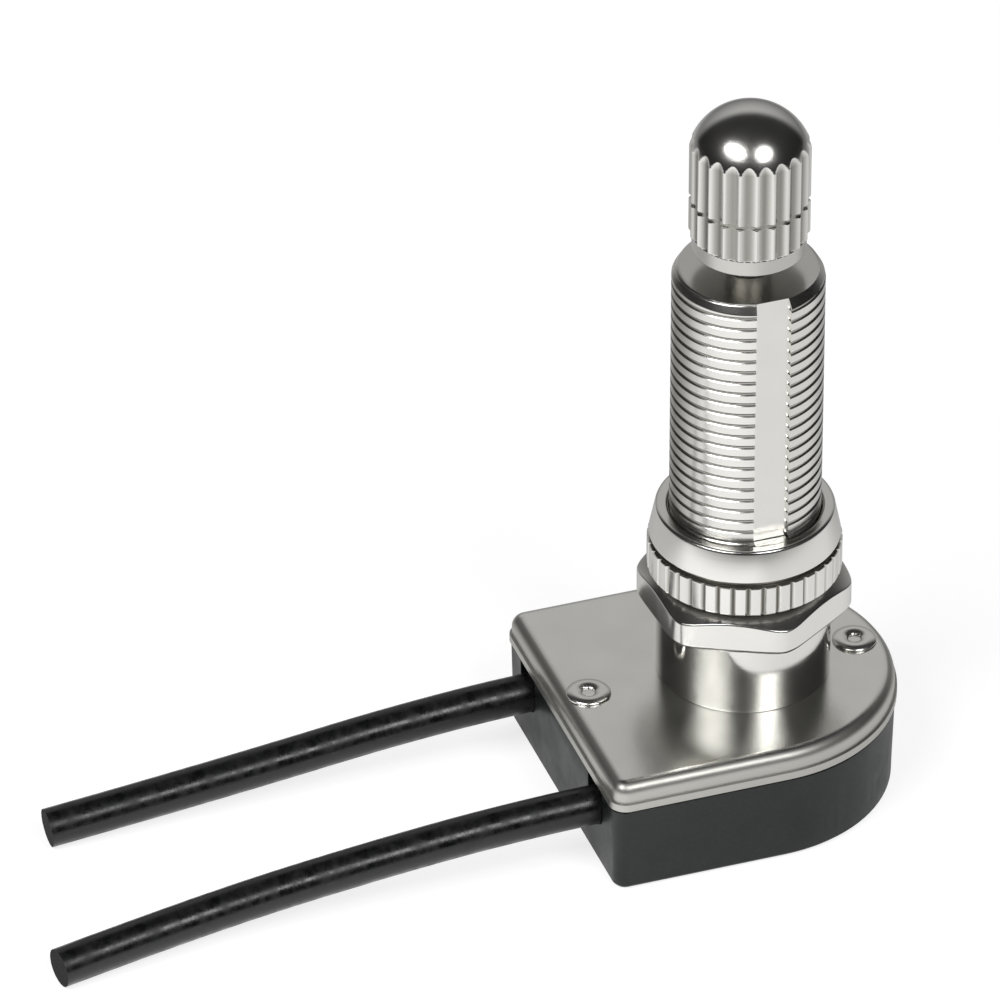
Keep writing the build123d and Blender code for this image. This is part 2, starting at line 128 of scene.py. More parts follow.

# %% [markdown]
# Nickel plate is the finish of the turned parts. The blank was turned on a lathe, polished and plated,
# so it mirrors the room, and only faint rings of the tool are left in it. The rings run round the axis,
# so the noise is stretched across X and Y and changes fast along Z. Real tool marks are about 0.03 mm
# apart, which is too fine for this picture, so they are drawn 0.15 mm apart. A polishing wheel and a
# thumb don't reach into cuts, so flutes, knurls and thread roots stay duller, and their colour is painted
# darker as shade. The trees that make those cuts leave their depth behind, from 0 to 1, in an attribute
# named recess, which is read here for both. Faces that were left dull, and painted darker as shade, are
# marked in it too, and a face that was buffed has less than 0.

# %% Polished nickel plate
RING_MM, SMUDGE_MM = 0.15, 2.5
ALONG_RING = 0.02
NOISE_LOW, NOISE_HIGH = 0.3, 0.7
CLEAN, SMUDGED, CUT_ROUGHER = 0.17, 0.22, 0.12
nickel, tree, shader = new_finish("nickel_plate_polished", "#DAD9D5", metallic=1.0, roughness=0.2)
place = put(tree, PLACE).outputs["Object"]
stretched = put(tree, "ShaderNodeMapping", {"Vector": place, "Scale": (ALONG_RING, ALONG_RING, 1.0)})
rings = put(tree, NOISE, {"Vector": stretched, "Scale": 1 / (RING_MM * MM), "Detail": 2.0})
smudges = put(tree, NOISE, {"Vector": place, "Scale": 1 / (SMUDGE_MM * MM), "Detail": 4.0})
recess = put(tree, "ShaderNodeAttribute", attribute_name="recess").outputs["Fac"]
span = {"From Min": NOISE_LOW, "From Max": NOISE_HIGH, "To Min": CLEAN, "To Max": SMUDGED}
polish = put(tree, MAP_RANGE, {"Value": smudges, **span})
sharpness = put(tree, MATH, {0: recess, 1: CUT_ROUGHER, 2: polish}, operation="MULTIPLY_ADD")
tint = put(tree, MIX, {0: smudges, 6: linear("#D4D3CF"), 7: linear("#E0DFDB")}, data_type="RGBA")
# Painted shade: where recess is high, the colour is mixed towards a dark grey.
dulled_and_shaded = put(tree, MIX, {0: recess, 6: tint.outputs[2], 7: linear("#8F8D87")}, data_type="RGBA")
tool_marks = put(tree, BUMP, {"Height": rings, "Strength": 0.05, "Distance": 0.02 * MM})
fill(tree, shader, {"Base Color": dulled_and_shaded.outputs[2], "Roughness": sharpness, "Normal": tool_marks})
print("made", nickel.name)

# %% [markdown]
# The cover is the same plate on rolled sheet steel. Sheet isn't turned or buffed like the bushing: it is
# tumbled before plating, so it mirrors softly, with a fine grain. The eye sees a pale grey satin in which
# the bushing shows as a blurred, darker shape. The die that drew the skirt has dulled it, and the skirt
# and its bend are also painted darker as shade; the same attribute, recess, says where. The grain of real
# sheet is near 0.05 mm, and it is drawn at 0.15 mm so that it shows. The rivets have the same finish.

# %% Satin nickel on sheet steel
GRAIN_MM, CLOUD_MM = 0.15, 4.0
TUMBLED, WORN, DRAWN_ROUGHER = 0.22, 0.26, 0.18
satin, tree, shader = new_finish("nickel_plate_satin_sheet", "#E8E7E2", metallic=1.0, roughness=0.24)
place = put(tree, PLACE).outputs["Object"]
grain = put(tree, NOISE, {"Vector": place, "Scale": 1 / (GRAIN_MM * MM), "Detail": 2.0})
clouds = put(tree, NOISE, {"Vector": place, "Scale": 1 / (CLOUD_MM * MM), "Detail": 4.0})
polish = put(tree, MAP_RANGE, {"Value": clouds, "To Min": TUMBLED, "To Max": WORN})
tint = put(tree, MIX, {0: clouds, 6: linear("#DCDBD6"), 7: linear("#F2F1EC")}, data_type="RGBA")
skirt_dull_and_shade = put(tree, "ShaderNodeAttribute", attribute_name="recess").outputs["Fac"]
softness = put(tree, MATH, {0: skirt_dull_and_shade, 1: DRAWN_ROUGHER, 2: polish}, operation="MULTIPLY_ADD")
# Painted shade: the skirt and its bend are mixed towards a darker grey.
dulled_and_shaded = put(tree, MIX, {0: skirt_dull_and_shade, 6: tint.outputs[2], 7: linear("#BCBBB6")}, data_type="RGBA")
fine_relief = put(tree, BUMP, {"Height": grain, "Strength": 0.12, "Distance": 0.02 * MM})
fill(tree, shader, {"Base Color": dulled_and_shaded.outputs[2], "Roughness": softness, "Normal": fine_relief})
print("made", satin.name)

# %% [markdown]
# The base is moulded phenolic, the brown-black thermoset of old switches. It is filled with wood flour,
# so under its skin there are fine paler specks, and its mould leaves a half-matt skin that is glossier
# where it was touched. The specks are about 0.1 mm in reality and 0.25 mm here.

# %% Black phenolic
SPECK_MM, SKIN_MM = 0.25, 1.6
NO_FLOUR, ALL_FLOUR = 0.45, 0.75
SKIN_GLOSSY, SKIN_MATT = 0.36, 0.46
phenolic, tree, shader = new_finish("black_phenolic_moulded", "#1A1D1C", metallic=0.0, roughness=0.42)
place = put(tree, PLACE).outputs["Object"]
specks = put(tree, NOISE, {"Vector": place, "Scale": 1 / (SPECK_MM * MM), "Detail": 4.0})
skin = put(tree, NOISE, {"Vector": place, "Scale": 1 / (SKIN_MM * MM), "Detail": 3.0})
flour = put(tree, MAP_RANGE, {"Value": specks, "From Min": NO_FLOUR, "From Max": ALL_FLOUR})
tint = put(tree, MIX, {0: flour, 6: linear("#121716"), 7: linear("#1C2423")}, data_type="RGBA")
span = {"From Min": NOISE_LOW, "From Max": NOISE_HIGH, "To Min": SKIN_GLOSSY, "To Max": SKIN_MATT}
gloss = put(tree, MAP_RANGE, {"Value": skin, **span})
ripple = put(tree, BUMP, {"Height": skin, "Strength": 0.05, "Distance": 0.08 * MM})
fill(tree, shader, {"Base Color": tint.outputs[2], "Roughness": gloss, "Normal": ripple})
print("made", phenolic.name)

# %% [markdown]
# The leads are stranded copper in black PVC. Extruded PVC is smooth along its length with slow waves
# where the strands press through, so it shows one long, broken highlight. The pattern follows the wire,
# so it reads the curve's own UV map, in which U runs along the wire and V round it. The cut ends are dull,
# because the cutter tears the plastic, and their colour is painted darker as shade. They are the only
# faces that look straight along X, so their normals give them away.

# %% Black PVC
LEAD_LENGTH_MM, LEAD_GIRTH_MM, WAVE_MM = 37.0, 7.85, 1.0
WAVE_LOW, WAVE_HIGH, BLOOM_HIGH = 0.35, 0.65, 0.75
GLOSSY_PVC, RUBBED_PVC, TORN_PVC = 0.18, 0.46, 0.9
NOT_CUT, CUT = -0.75, -0.9
pvc, tree, shader = new_finish("black_pvc_extruded", "#101112", metallic=0.0, roughness=0.26)
coordinates = put(tree, PLACE).outputs
per_wave = (LEAD_LENGTH_MM / WAVE_MM, LEAD_GIRTH_MM / WAVE_MM, 1.0)
along = put(tree, "ShaderNodeMapping", {"Vector": coordinates["UV"], "Scale": per_wave})
waves = put(tree, NOISE, {"Vector": along, "Scale": 1.0, "Detail": 5.0, "Roughness": 0.65})
bloom = put(tree, MAP_RANGE, {"Value": waves, "From Min": WAVE_LOW, "From Max": BLOOM_HIGH})
tint = put(tree, MIX, {0: bloom, 6: linear("#0B0C0C"), 7: linear("#222322")}, data_type="RGBA")
span = {"From Min": WAVE_LOW, "From Max": WAVE_HIGH, "To Min": GLOSSY_PVC, "To Max": RUBBED_PVC}
gloss = put(tree, MAP_RANGE, {"Value": waves, **span})
facing = put(tree, SEPARATE, {0: coordinates["Normal"]}).outputs[0]
is_cut = put(tree, MAP_RANGE, {"Value": facing, "From Min": NOT_CUT, "From Max": CUT})
# Painted shade: the cut ends are mixed to a darker black.
torn_and_shaded = put(tree, MIX, {0: is_cut, 6: tint.outputs[2], 7: linear("#080808")}, data_type="RGBA")
dull = put(tree, MAP_RANGE, {"Value": is_cut, "To Min": gloss, "To Max": TORN_PVC})
swell = put(tree, BUMP, {"Height": waves, "Strength": 0.25, "Distance": 0.06 * MM})
fill(tree, shader, {"Base Color": torn_and_shaded.outputs[2], "Roughness": dull, "Normal": swell})
print("made", pvc.name)

# %% [markdown]
# What is inside the housing is seen by nobody until the switch is opened, but each part still has the
# finish of its real material. These finishes share one recipe: two near colours mixed by a fine noise,
# which also moves the roughness a little. The table gives the name, the two colours, how metallic it is,
# the roughness and the size of its grain in millimetres.

# %% Finishes of the hidden parts
hidden_finishes = {
    "rotor_phenolic": ("brown_phenolic_moulded", "#2B211C", "#3A2D26", 0.0, 0.48, 0.3),
    "grey_fibre": ("vulcanised_fibre_grey", "#5D5A55", "#6E6A64", 0.0, 0.78, 0.4),
    "shaft_steel": ("bright_drawn_steel", "#B4B2AE", "#C4C2BE", 1.0, 0.24, 0.2),
    "spring_steel": ("blued_spring_steel", "#6B6E74", "#83868C", 1.0, 0.32, 0.2),
    "spring_bronze": ("phosphor_bronze_strip", "#B98A55", "#C99A62", 1.0, 0.30, 0.3),
    "contact_brass": ("brass_strip_stamped", "#C6A55C", "#D6B76C", 1.0, 0.28, 0.3),
    "copper_strand": ("bare_copper_strand", "#B5704F", "#CB8460", 1.0, 0.30, 0.1),
}
ROUGHNESS_SPREAD = 0.08
finishes = {"polished_nickel": nickel, "satin_nickel": satin, "rivet_nickel": satin}
finishes |= {"black_phenolic": phenolic, "black_pvc": pvc}
for slot, (name, dark, pale, metallic, roughness, grain_mm) in hidden_finishes.items():
    material, tree, shader = new_finish(name, dark, metallic, roughness)
    place = put(tree, PLACE).outputs["Object"]
    grain = put(tree, NOISE, {"Vector": place, "Scale": 1 / (grain_mm * MM), "Detail": 3.0})
    tint = put(tree, MIX, {0: grain, 6: linear(dark), 7: linear(pale)}, data_type="RGBA")
    limits = {"To Min": roughness - ROUGHNESS_SPREAD, "To Max": roughness + ROUGHNESS_SPREAD}
    gloss = put(tree, MAP_RANGE, {"Value": grain, **limits})
    fill(tree, shader, {"Base Color": tint.outputs[2], "Roughness": gloss})
    finishes[slot] = material
print("finishes for", len(finishes), "slots")

# %% [markdown]
# Every CAD part gets the finish of its slot in the record, so that nothing is left in a flat colour.

# %% Dress the CAD parts
for subpart in frame["record"]["subparts"]:
    part = nodes[subpart["node"]]
    part.data.materials.clear()
    part.data.materials.append(finishes[subpart["material_slot"]])
print("dressed", len(nodes), "CAD parts")

# %% [markdown]
# Most of the switch is turned on a lathe, so most of its pieces are an outline spun round the axis. An
# outline is a list of radius and height in millimetres. `eased` breaks its sharp corners, as a deburring
# tool does, because an edge that is perfectly sharp never catches the light. The points that it sets
# close beside each corner keep the faces between them flat for the shading. `spin` makes the mesh: a
# point on the axis becomes one shared vertex, so the poles are closed. `mark` writes the attribute that
# the nickel reads, and `settle` hands a finished piece over to the frame.

# %% Lathe helpers
EASE = 0.05
SIDE_SHARE, SHARP_SHARE, BESIDE = 0.3, 0.4, 1.5
LEAST_TURN = math.radians(12)
ON_AXIS = 1e-6


def eased(outline, ease, closed):
    """The outline with each corner cut back by `ease`, a point half way round it and one on each side."""
    made = []
    count = len(outline)
    for i, corner in enumerate(outline):
        if not closed and i in (0, count - 1):
            made.append(corner)
            continue
        here = Vector(corner)
        before = Vector(outline[i - 1]) - here
        after = Vector(outline[(i + 1) % count]) - here
        if before.angle(-after) < LEAST_TURN:
            made.append(corner)
            continue
        cut = min(ease, SIDE_SHARE * before.length, SIDE_SHARE * after.length)
        first, last = here + before.normalized() * cut, here + after.normalized() * cut
        middle = (first + last) * (1 - SHARP_SHARE) / 2 + here * SHARP_SHARE
        beside = [here + side.normalized() * BESIDE * cut for side in (before, after)]
        made += [tuple(point) for point in (beside[0], first, middle, last, beside[1])]
    return made


def circle(mesh, radius, height, columns, start=0.0, centre=0.0):
    """New vertices on a level circle, whose centre is on the X axis."""
    angles = [start + math.tau * i / columns for i in range(columns)]
    return [
        mesh.verts.new(((centre + radius * math.cos(a)) * MM, radius * math.sin(a) * MM, height * MM))
        for a in angles
    ]


def spin(name, outline, columns, closed, start=0.0):
    """A mesh object: the outline spun round the Z axis in that many columns."""
    mesh = bmesh.new()
    rings = []
    for radius, height in outline:
        if radius < ON_AXIS:
            rings.append([mesh.verts.new((0, 0, height * MM))])
        else:
            rings.append(circle(mesh, radius, height, columns, start))
    pairs = list(zip(rings, rings[1:])) + ([(rings[-1], rings[0])] if closed else [])
    for low, high in pairs:
        for i in range(columns):
            j = (i + 1) % columns
            corners = [low[i % len(low)], low[j % len(low)], high[j % len(high)], high[i % len(high)]]
            mesh.faces.new(list(dict.fromkeys(corners)))
    return new_piece(name, mesh)


def new_piece(name, mesh):
    """Links the bmesh as an object at the origin, with its faces turned outwards."""
    bmesh.ops.recalc_face_normals(mesh, faces=mesh.faces)
    data = bpy.data.meshes.new(name)
    mesh.to_mesh(data)
    mesh.free()
    piece = bpy.data.objects.new(name, data)
    scene.collection.objects.link(piece)
    return piece


def smooth(piece, degrees=35):
    """Shades the piece smooth, with a crease where its faces meet at more than the angle."""
    piece.data.shade_smooth()
    piece.data.set_sharp_from_angle(angle=math.radians(degrees))


def break_edges(piece, width_mm, degrees=30):
    """A small bevel on the edges that are sharper than the angle, and smooth shading between them."""
    bevel = piece.modifiers.new("broken edges", "BEVEL")
    bevel.width, bevel.segments = width_mm * MM, 2
    bevel.limit_method, bevel.angle_limit = "ANGLE", math.radians(degrees)
    smooth(piece, degrees)


def mark(piece, dullness_and_shade):
    """Writes the attribute recess, 0 polished, 1 dull and painted darker as shade, below 0 buffed, by a rule
    of radius and height.
    """
    points = [vertex.co / MM for vertex in piece.data.vertices]
    marks = [float(dullness_and_shade(math.hypot(p.x, p.y), p.z)) for p in points]
    piece.data.attributes.new("recess", "FLOAT", "POINT").data.foreach_set("value", marks)


def settle(piece, body, slot, *replaced):
    """Gives a finished piece its finish and its body, and lets it stand for its CAD parts."""
    if not piece.data.materials:
        piece.data.materials.append(finishes[slot])
    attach(piece, body)
    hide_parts(*replaced)
    piece.data.calc_loop_triangles()
    print(piece.name, "-", len(piece.data.loop_triangles), "triangles, on", body)


print("lathe ready")

# %% [markdown]
# Geometry Nodes make what repeats. `new_tree` starts a tree with named inputs, and `grow` puts it on a
# piece as a modifier, sets the inputs by their identifiers before anything is evaluated, and turns the
# result back to a plain mesh. The modifier is then gone, which is what the export needs.

# %% Geometry Nodes helpers
SOCKETS = {float: "NodeSocketFloat", int: "NodeSocketInt", bpy.types.Material: "NodeSocketMaterial"}


def new_tree(name, inputs):
    """A geometry tree, its group input node and the identifiers of its named inputs."""
    tree = bpy.data.node_groups.new(name, "GeometryNodeTree")
    tree.interface.new_socket("Geometry", in_out="INPUT", socket_type="NodeSocketGeometry")
    tree.interface.new_socket("Geometry", in_out="OUTPUT", socket_type="NodeSocketGeometry")
    keys = {}
    for label, kind in inputs.items():
        keys[label] = tree.interface.new_socket(label, in_out="INPUT", socket_type=SOCKETS[kind]).identifier
    return tree, put(tree, "NodeGroupInput"), keys


def end_tree(tree, geometry, material):
    """Closes a tree the way the export needs it: instances made real, and the material set."""
    real = put(tree, "GeometryNodeRealizeInstances", {"Geometry": geometry})
    painted = put(tree, "GeometryNodeSetMaterial", {"Geometry": real, "Material": material})
    put(tree, "NodeGroupOutput", {"Geometry": painted})


def grow(piece, tree, keys, values):
    """Runs the tree on the piece with these inputs and keeps the result as its plain mesh."""
    modifier = piece.modifiers.new(tree.name, "NODES")
    modifier.node_group = tree
    for label, value in values.items():
        modifier[keys[label]] = value
    seen = piece.evaluated_get(bpy.context.evaluated_depsgraph_get())
    made = bpy.data.meshes.new_from_object(seen)
    piece.modifiers.remove(modifier)
    piece.data = made
    made.name = piece.name


print("trees ready")

# %% [markdown]
# A straight knurl is a ring of grooves along the axis: scallops on the knob, small V cuts on the ring
# nut. On the lathe blank each point knows its angle, so one rule makes both. The angle is folded to a
# distance from the nearest groove, 0 in its middle and 1 on the land beside it, and the radius may not be
# larger than the groove's floor there. A power of 2 gives a round scallop and 1 gives a V. Because the
# radius is only ever lowered, the grooves run out by themselves on a dome. The share of the depth is kept
# as the attribute recess, unless the blank was marked more strongly there before.

# %% Tree: straight knurl
knurl_inputs = {"Count": int, "Radius": float, "Depth": float, "Land": float, "Phase": float}
knurl_inputs |= {"Power": float, "Bottom": float, "Top": float, "Finish": bpy.types.Material}
knurl, given, knurl_keys = new_tree("straight knurl", knurl_inputs)
size = given.outputs
point = put(knurl, SEPARATE, {0: put(knurl, "GeometryNodeInputPosition")})
x, y, z = point.outputs
squares = [put(knurl, MATH, {0: side, 1: 2.0}, operation="POWER") for side in (x, y)]
radius = put(
    knurl,
    MATH,
    {0: put(knurl, MATH, {0: squares[0], 1: squares[1]}, operation="ADD")},
    operation="SQRT",
)
angle = put(knurl, MATH, {0: y, 1: x}, operation="ARCTAN2")
offset = put(knurl, MATH, {0: angle, 1: size["Phase"]}, operation="SUBTRACT")
share = put(knurl, MATH, {0: size["Count"], 1: math.tau}, operation="DIVIDE")
turns = put(knurl, MATH, {0: offset, 1: share}, operation="MULTIPLY")
fold = put(knurl, MATH, {0: turns, 1: 0.5}, operation="PINGPONG")
pitch = put(knurl, MATH, {0: size["Radius"], 1: share}, operation="DIVIDE")
half_pitch = put(knurl, MATH, {0: pitch, 1: 0.5}, operation="MULTIPLY")
half_land = put(knurl, MATH, {0: size["Land"], 1: 0.5}, operation="MULTIPLY")
half_groove = put(knurl, MATH, {0: half_pitch, 1: half_land}, operation="SUBTRACT")
aside = put(knurl, MATH, {0: fold, 1: pitch}, operation="MULTIPLY")
reach = put(knurl, MATH, {0: aside, 1: half_groove}, operation="DIVIDE", use_clamp=True)
rise = put(knurl, MATH, {0: reach, 1: size["Power"]}, operation="POWER")
sink = put(knurl, MATH, {0: 1.0, 1: rise}, operation="SUBTRACT")
cut = put(knurl, MATH, {0: sink, 1: size["Depth"]}, operation="MULTIPLY")
floor_radius = put(knurl, MATH, {0: size["Radius"], 1: cut}, operation="SUBTRACT")
kept = put(knurl, MATH, {0: radius, 1: floor_radius}, operation="MINIMUM")
safe = put(knurl, MATH, {0: radius, 1: ON_AXIS * MM}, operation="MAXIMUM")
scale = put(knurl, MATH, {0: kept, 1: safe}, operation="DIVIDE")
above = put(knurl, "FunctionNodeCompare", {0: z, 1: size["Bottom"]}, operation="GREATER_EQUAL")
below = put(knurl, "FunctionNodeCompare", {0: z, 1: size["Top"]}, operation="LESS_EQUAL")
within = put(knurl, "FunctionNodeBooleanMath", {0: above, 1: below}, operation="AND")
new_x = put(knurl, MATH, {0: x, 1: scale}, operation="MULTIPLY")
new_y = put(knurl, MATH, {0: y, 1: scale}, operation="MULTIPLY")
# Painted shade: the share of the depth, kept in recess, makes the cuts darker in the nickel as well as
# rougher.
lowered = put(knurl, MATH, {0: radius, 1: kept}, operation="SUBTRACT")
depth_share = put(knurl, MATH, {0: lowered, 1: size["Depth"]}, operation="DIVIDE", use_clamp=True)
marks = put(knurl, "GeometryNodeInputNamedAttribute", {"Name": "recess"}, data_type="FLOAT")
deepest = put(knurl, MATH, {0: marks.outputs["Attribute"], 1: depth_share}, operation="MAXIMUM")
marked = put(
    knurl,
    "GeometryNodeStoreNamedAttribute",
    {"Geometry": given, "Selection": within, "Name": "recess", "Value": deepest},
    data_type="FLOAT",
    domain="POINT",
)
moved = put(
    knurl,
    "GeometryNodeSetPosition",
    {
        "Geometry": marked,
        "Selection": within,
        "Position": put(knurl, COMBINE, {0: new_x, 1: new_y, 2: z}),
    },
)
end_tree(knurl, moved, size["Finish"])
print("knurl tree with", len(knurl.nodes), "nodes")

# %% [markdown]
# The knob is what the hand turns: two fluted bands with a groove between them, a smooth lip below and a
# low dome on top. Its blank is spun with twelve columns for each flute, and with many rows low on the
# dome, because that is where the scallops run out into points.

# %% Knob
KNOB_RADIUS, LIP_RADIUS, LIP_SLOPE = 3.75, 3.55, 0.12
KNOB_BOTTOM, LIP_TOP, KNOB_RIM, KNOB_TOP = 39.5, 40.65, 46.8, 49.5
GROOVE_HEIGHT, GROOVE_HALF, GROOVE_RADIUS = 43.05, 0.15, 3.55
SOCKET_RADIUS, SOCKET_TOP = 1.445, 45.0
FLUTES, FLUTE_DEPTH, FLUTE_LAND, FLUTE_PHASE = 22, 0.25, 0.12, math.radians(3.2)
COLUMNS_PER_FLUTE, COARSE_STEP, COARSE_ROWS, FINE_ROWS = 12, 3, 19, 24
GROOVE_DULL_SHADE, LIP_DULL_SHADE, BAND_DULL_SHADE = 1.0, 0.5, 0.22
NEAR, TINY = 0.1, 0.01
dome_rise = KNOB_TOP - KNOB_RIM
dome_radius = (KNOB_RADIUS**2 + dome_rise**2) / (2 * dome_rise)
rim_angle = math.degrees(math.asin(KNOB_RADIUS / dome_radius))
coarse_end = COARSE_STEP * COARSE_ROWS
dome_angles = [COARSE_STEP * i for i in range(COARSE_ROWS)]
dome_angles += [coarse_end + (rim_angle - coarse_end) * i / FINE_ROWS for i in range(1, FINE_ROWS)]
dome = [
    (dome_radius * math.sin(math.radians(a)), KNOB_TOP - dome_radius * (1 - math.cos(math.radians(a))))
    for a in dome_angles
]
band = [
    (KNOB_RADIUS, KNOB_RIM),
    (KNOB_RADIUS, GROOVE_HEIGHT + GROOVE_HALF),
    (GROOVE_RADIUS, GROOVE_HEIGHT + GROOVE_HALF),
    (GROOVE_RADIUS, GROOVE_HEIGHT - GROOVE_HALF),
    (KNOB_RADIUS, GROOVE_HEIGHT - GROOVE_HALF),
]
foot = [(KNOB_RADIUS, LIP_TOP), (LIP_RADIUS, LIP_TOP - LIP_SLOPE), (LIP_RADIUS, KNOB_BOTTOM)]
socket = [(SOCKET_RADIUS, KNOB_BOTTOM), (SOCKET_RADIUS, SOCKET_TOP), (0, SOCKET_TOP)]
knob_outline = dome + eased(band + foot + socket, EASE, False)
knob = spin("knob_turned", knob_outline, FLUTES * COLUMNS_PER_FLUTE, False, FLUTE_PHASE)


def knob_dull_and_shade(r, z):
    """The groove is left dull and painted darkest as shade, the lip and the fluted bands less so, and the
    dome is polished.
    """
    if abs(z - GROOVE_HEIGHT) < GROOVE_HALF and r < KNOB_RADIUS - NEAR:
        return GROOVE_DULL_SHADE
    if z < LIP_TOP - NEAR:
        return LIP_DULL_SHADE
    return BAND_DULL_SHADE if z < KNOB_RIM + TINY else 0.0


mark(knob, knob_dull_and_shade)
grow(
    knob,
    knurl,
    knurl_keys,
    {
        "Count": FLUTES,
        "Radius": KNOB_RADIUS * MM,
        "Depth": FLUTE_DEPTH * MM,
        "Land": FLUTE_LAND * MM,
        "Phase": FLUTE_PHASE,
        "Power": 2.0,
        "Bottom": (LIP_TOP - LIP_SLOPE) * MM,
        "Top": KNOB_TOP * MM,
        "Finish": nickel,
    },
)
smooth(knob)
settle(knob, "spindle", "polished_nickel", "knob")

# %% [markdown]
# The ring nut locks the switch in its plate. Its upper half is a smooth cone with a countersink round the
# thread, and its lower half has the small V cuts that fingers grip. The same tree cuts them, below the
# groove only. It starts a hair below the lower face, so that the face's rim is cut too. Inside, the
# nut's own thread stands out into the keyway of the bushing and nearly fills it. Only there can it be
# seen, so a small block stands for its crests.

# %% Ring nut
NUT_BORE = 4.8025
RING_BOTTOM, RING_TOP = 15.84, 20.34
RING_RADIUS, RING_TOP_RADIUS, RING_KNURL_RADIUS = 6.025, 5.65, 6.125
RING_GROOVE, RING_GROOVE_HALF, RING_GROOVE_RADIUS = 18.09, 0.2, 5.675
RING_EDGE, RING_EDGE_BOW, RING_COUNTERSINK, KNURL_EDGE = 0.2, 0.3, 0.15, 0.1
KNURLS, KNURL_DEPTH, KNURL_LAND, COLUMNS_PER_CUT = 40, 0.2, 0.6, 16
THREAD_IN_KEYWAY, THREAD_ROOTED = Vector((2.1, 0.52, 4.46)), 0.05
BELOW_FACE = 0.001
ring_outline = [
    (NUT_BORE, RING_BOTTOM),
    (RING_KNURL_RADIUS - KNURL_EDGE, RING_BOTTOM),
    (RING_KNURL_RADIUS, RING_BOTTOM + KNURL_EDGE),
    (RING_KNURL_RADIUS, RING_GROOVE - RING_GROOVE_HALF),
    (RING_GROOVE_RADIUS, RING_GROOVE - RING_GROOVE_HALF),
    (RING_GROOVE_RADIUS, RING_GROOVE + RING_GROOVE_HALF),
    (RING_RADIUS, RING_GROOVE + RING_GROOVE_HALF),
    (RING_TOP_RADIUS, RING_TOP - RING_EDGE),
    (RING_TOP_RADIUS - RING_EDGE_BOW * RING_EDGE, RING_TOP - RING_EDGE_BOW * RING_EDGE),
    (RING_TOP_RADIUS - RING_EDGE, RING_TOP),
    (NUT_BORE + RING_COUNTERSINK, RING_TOP),
    (NUT_BORE, RING_TOP - RING_COUNTERSINK),
]
ring_nut = spin("ring_nut_turned", eased(ring_outline, EASE, True), KNURLS * COLUMNS_PER_CUT, True)


def ring_dull_and_shade(r, z):
    """Only the groove is left dull and painted darker as shade. The tree adds the cuts."""
    return abs(z - RING_GROOVE) < RING_GROOVE_HALF + TINY and r < RING_RADIUS - NEAR


mark(ring_nut, ring_dull_and_shade)
grow(
    ring_nut,
    knurl,
    knurl_keys,
    {
        "Count": KNURLS,
        "Radius": RING_KNURL_RADIUS * MM,
        "Depth": KNURL_DEPTH * MM,
        "Land": KNURL_LAND * MM,
        "Phase": 0.0,
        "Power": 1.0,
        "Bottom": (RING_BOTTOM - BELOW_FACE) * MM,
        "Top": RING_GROOVE * MM,
        "Finish": nickel,
    },
)
mesh = bmesh.new()
mesh.from_mesh(ring_nut.data)
depth = THREAD_IN_KEYWAY.y / 2 - THREAD_ROOTED
middle = Vector((0, depth - NUT_BORE, (RING_BOTTOM + RING_TOP) / 2))
bmesh.ops.create_cube(mesh, size=1.0, matrix=Matrix.LocRotScale(middle * MM, None, THREAD_IN_KEYWAY * MM))
mesh.to_mesh(ring_nut.data)
mesh.free()
smooth(ring_nut)
settle(ring_nut, "ring_nut", "polished_nickel", "ring_nut")

# %% [markdown]
# The hex nut is sawn from hexagon bar with turned corners, and its upper end is turned to a cone, which
# leaves curved lines where the cone meets the flats. A boolean would find them, but there is a neater
# way: for every angle the distance to the flat or the corner is known, so the height at which the cone
# reaches that distance is known too, and the rows of the mesh follow the curved lines exactly. The lesser
# of the two distances is taken with a high power mean, which lets a flat roll over into its corner. The
# flats are polished, and the cone gets duller towards the ring nut, where no wheel could reach; its top
# is also painted darker there, as the shade under the ring nut.

# %% Hex nut
HEX_FLAT, HEX_BOTTOM, HEX_TOP = 6.15, 13.02, 15.82
HEX_TOP_FACE, HEX_CORNER = 5.0, 6.8
HEX_TURN = math.radians(3.5)
HEX_EDGE_IN, HEX_EDGE_UP = 0.2, 0.25
HEX_SLOPE = math.tan(math.radians(30))
HEX_COLUMNS, HEX_ROUNDING = 6 * 48, 40
HEX_TOP_DULL_SHADE, HEX_BREAK = 1.6, 0.06
mesh = bmesh.new()
columns = []
for i in range(HEX_COLUMNS):
    angle = math.tau * i / HEX_COLUMNS
    from_flat = (angle + math.pi / 6) % (math.pi / 3) - math.pi / 6
    limits = (HEX_FLAT / math.cos(from_flat), HEX_CORNER)
    flat = sum(limit**-HEX_ROUNDING for limit in limits) ** (-1 / HEX_ROUNDING)
    high = HEX_TOP - (flat - HEX_TOP_FACE) * HEX_SLOPE
    section = [
        (NUT_BORE, HEX_BOTTOM),
        (flat - HEX_EDGE_IN, HEX_BOTTOM),
        (flat, HEX_BOTTOM + HEX_EDGE_UP),
        (flat, high),
        (HEX_TOP_FACE, HEX_TOP),
        (NUT_BORE, HEX_TOP),
    ]
    turned = angle + HEX_TURN
    columns.append(
        [mesh.verts.new((r * math.cos(turned) * MM, r * math.sin(turned) * MM, h * MM)) for r, h in section]
    )
for here, there in zip(columns, columns[1:] + columns[:1]):
    for k in range(len(section)):
        j = (k + 1) % len(section)
        mesh.faces.new((here[k], there[k], there[j], here[j]))
hex_nut = new_piece("hex_nut_turned", mesh)


def hex_dull_and_shade(r, z):
    """The top face is dull and painted darker as shade, and the cone goes over from it to the polished
    flats.
    """
    return HEX_TOP_DULL_SHADE if z > HEX_TOP - TINY else 0.0


mark(hex_nut, hex_dull_and_shade)
break_edges(hex_nut, HEX_BREAK)
settle(hex_nut, "hex_nut", "polished_nickel", "hex_nut")

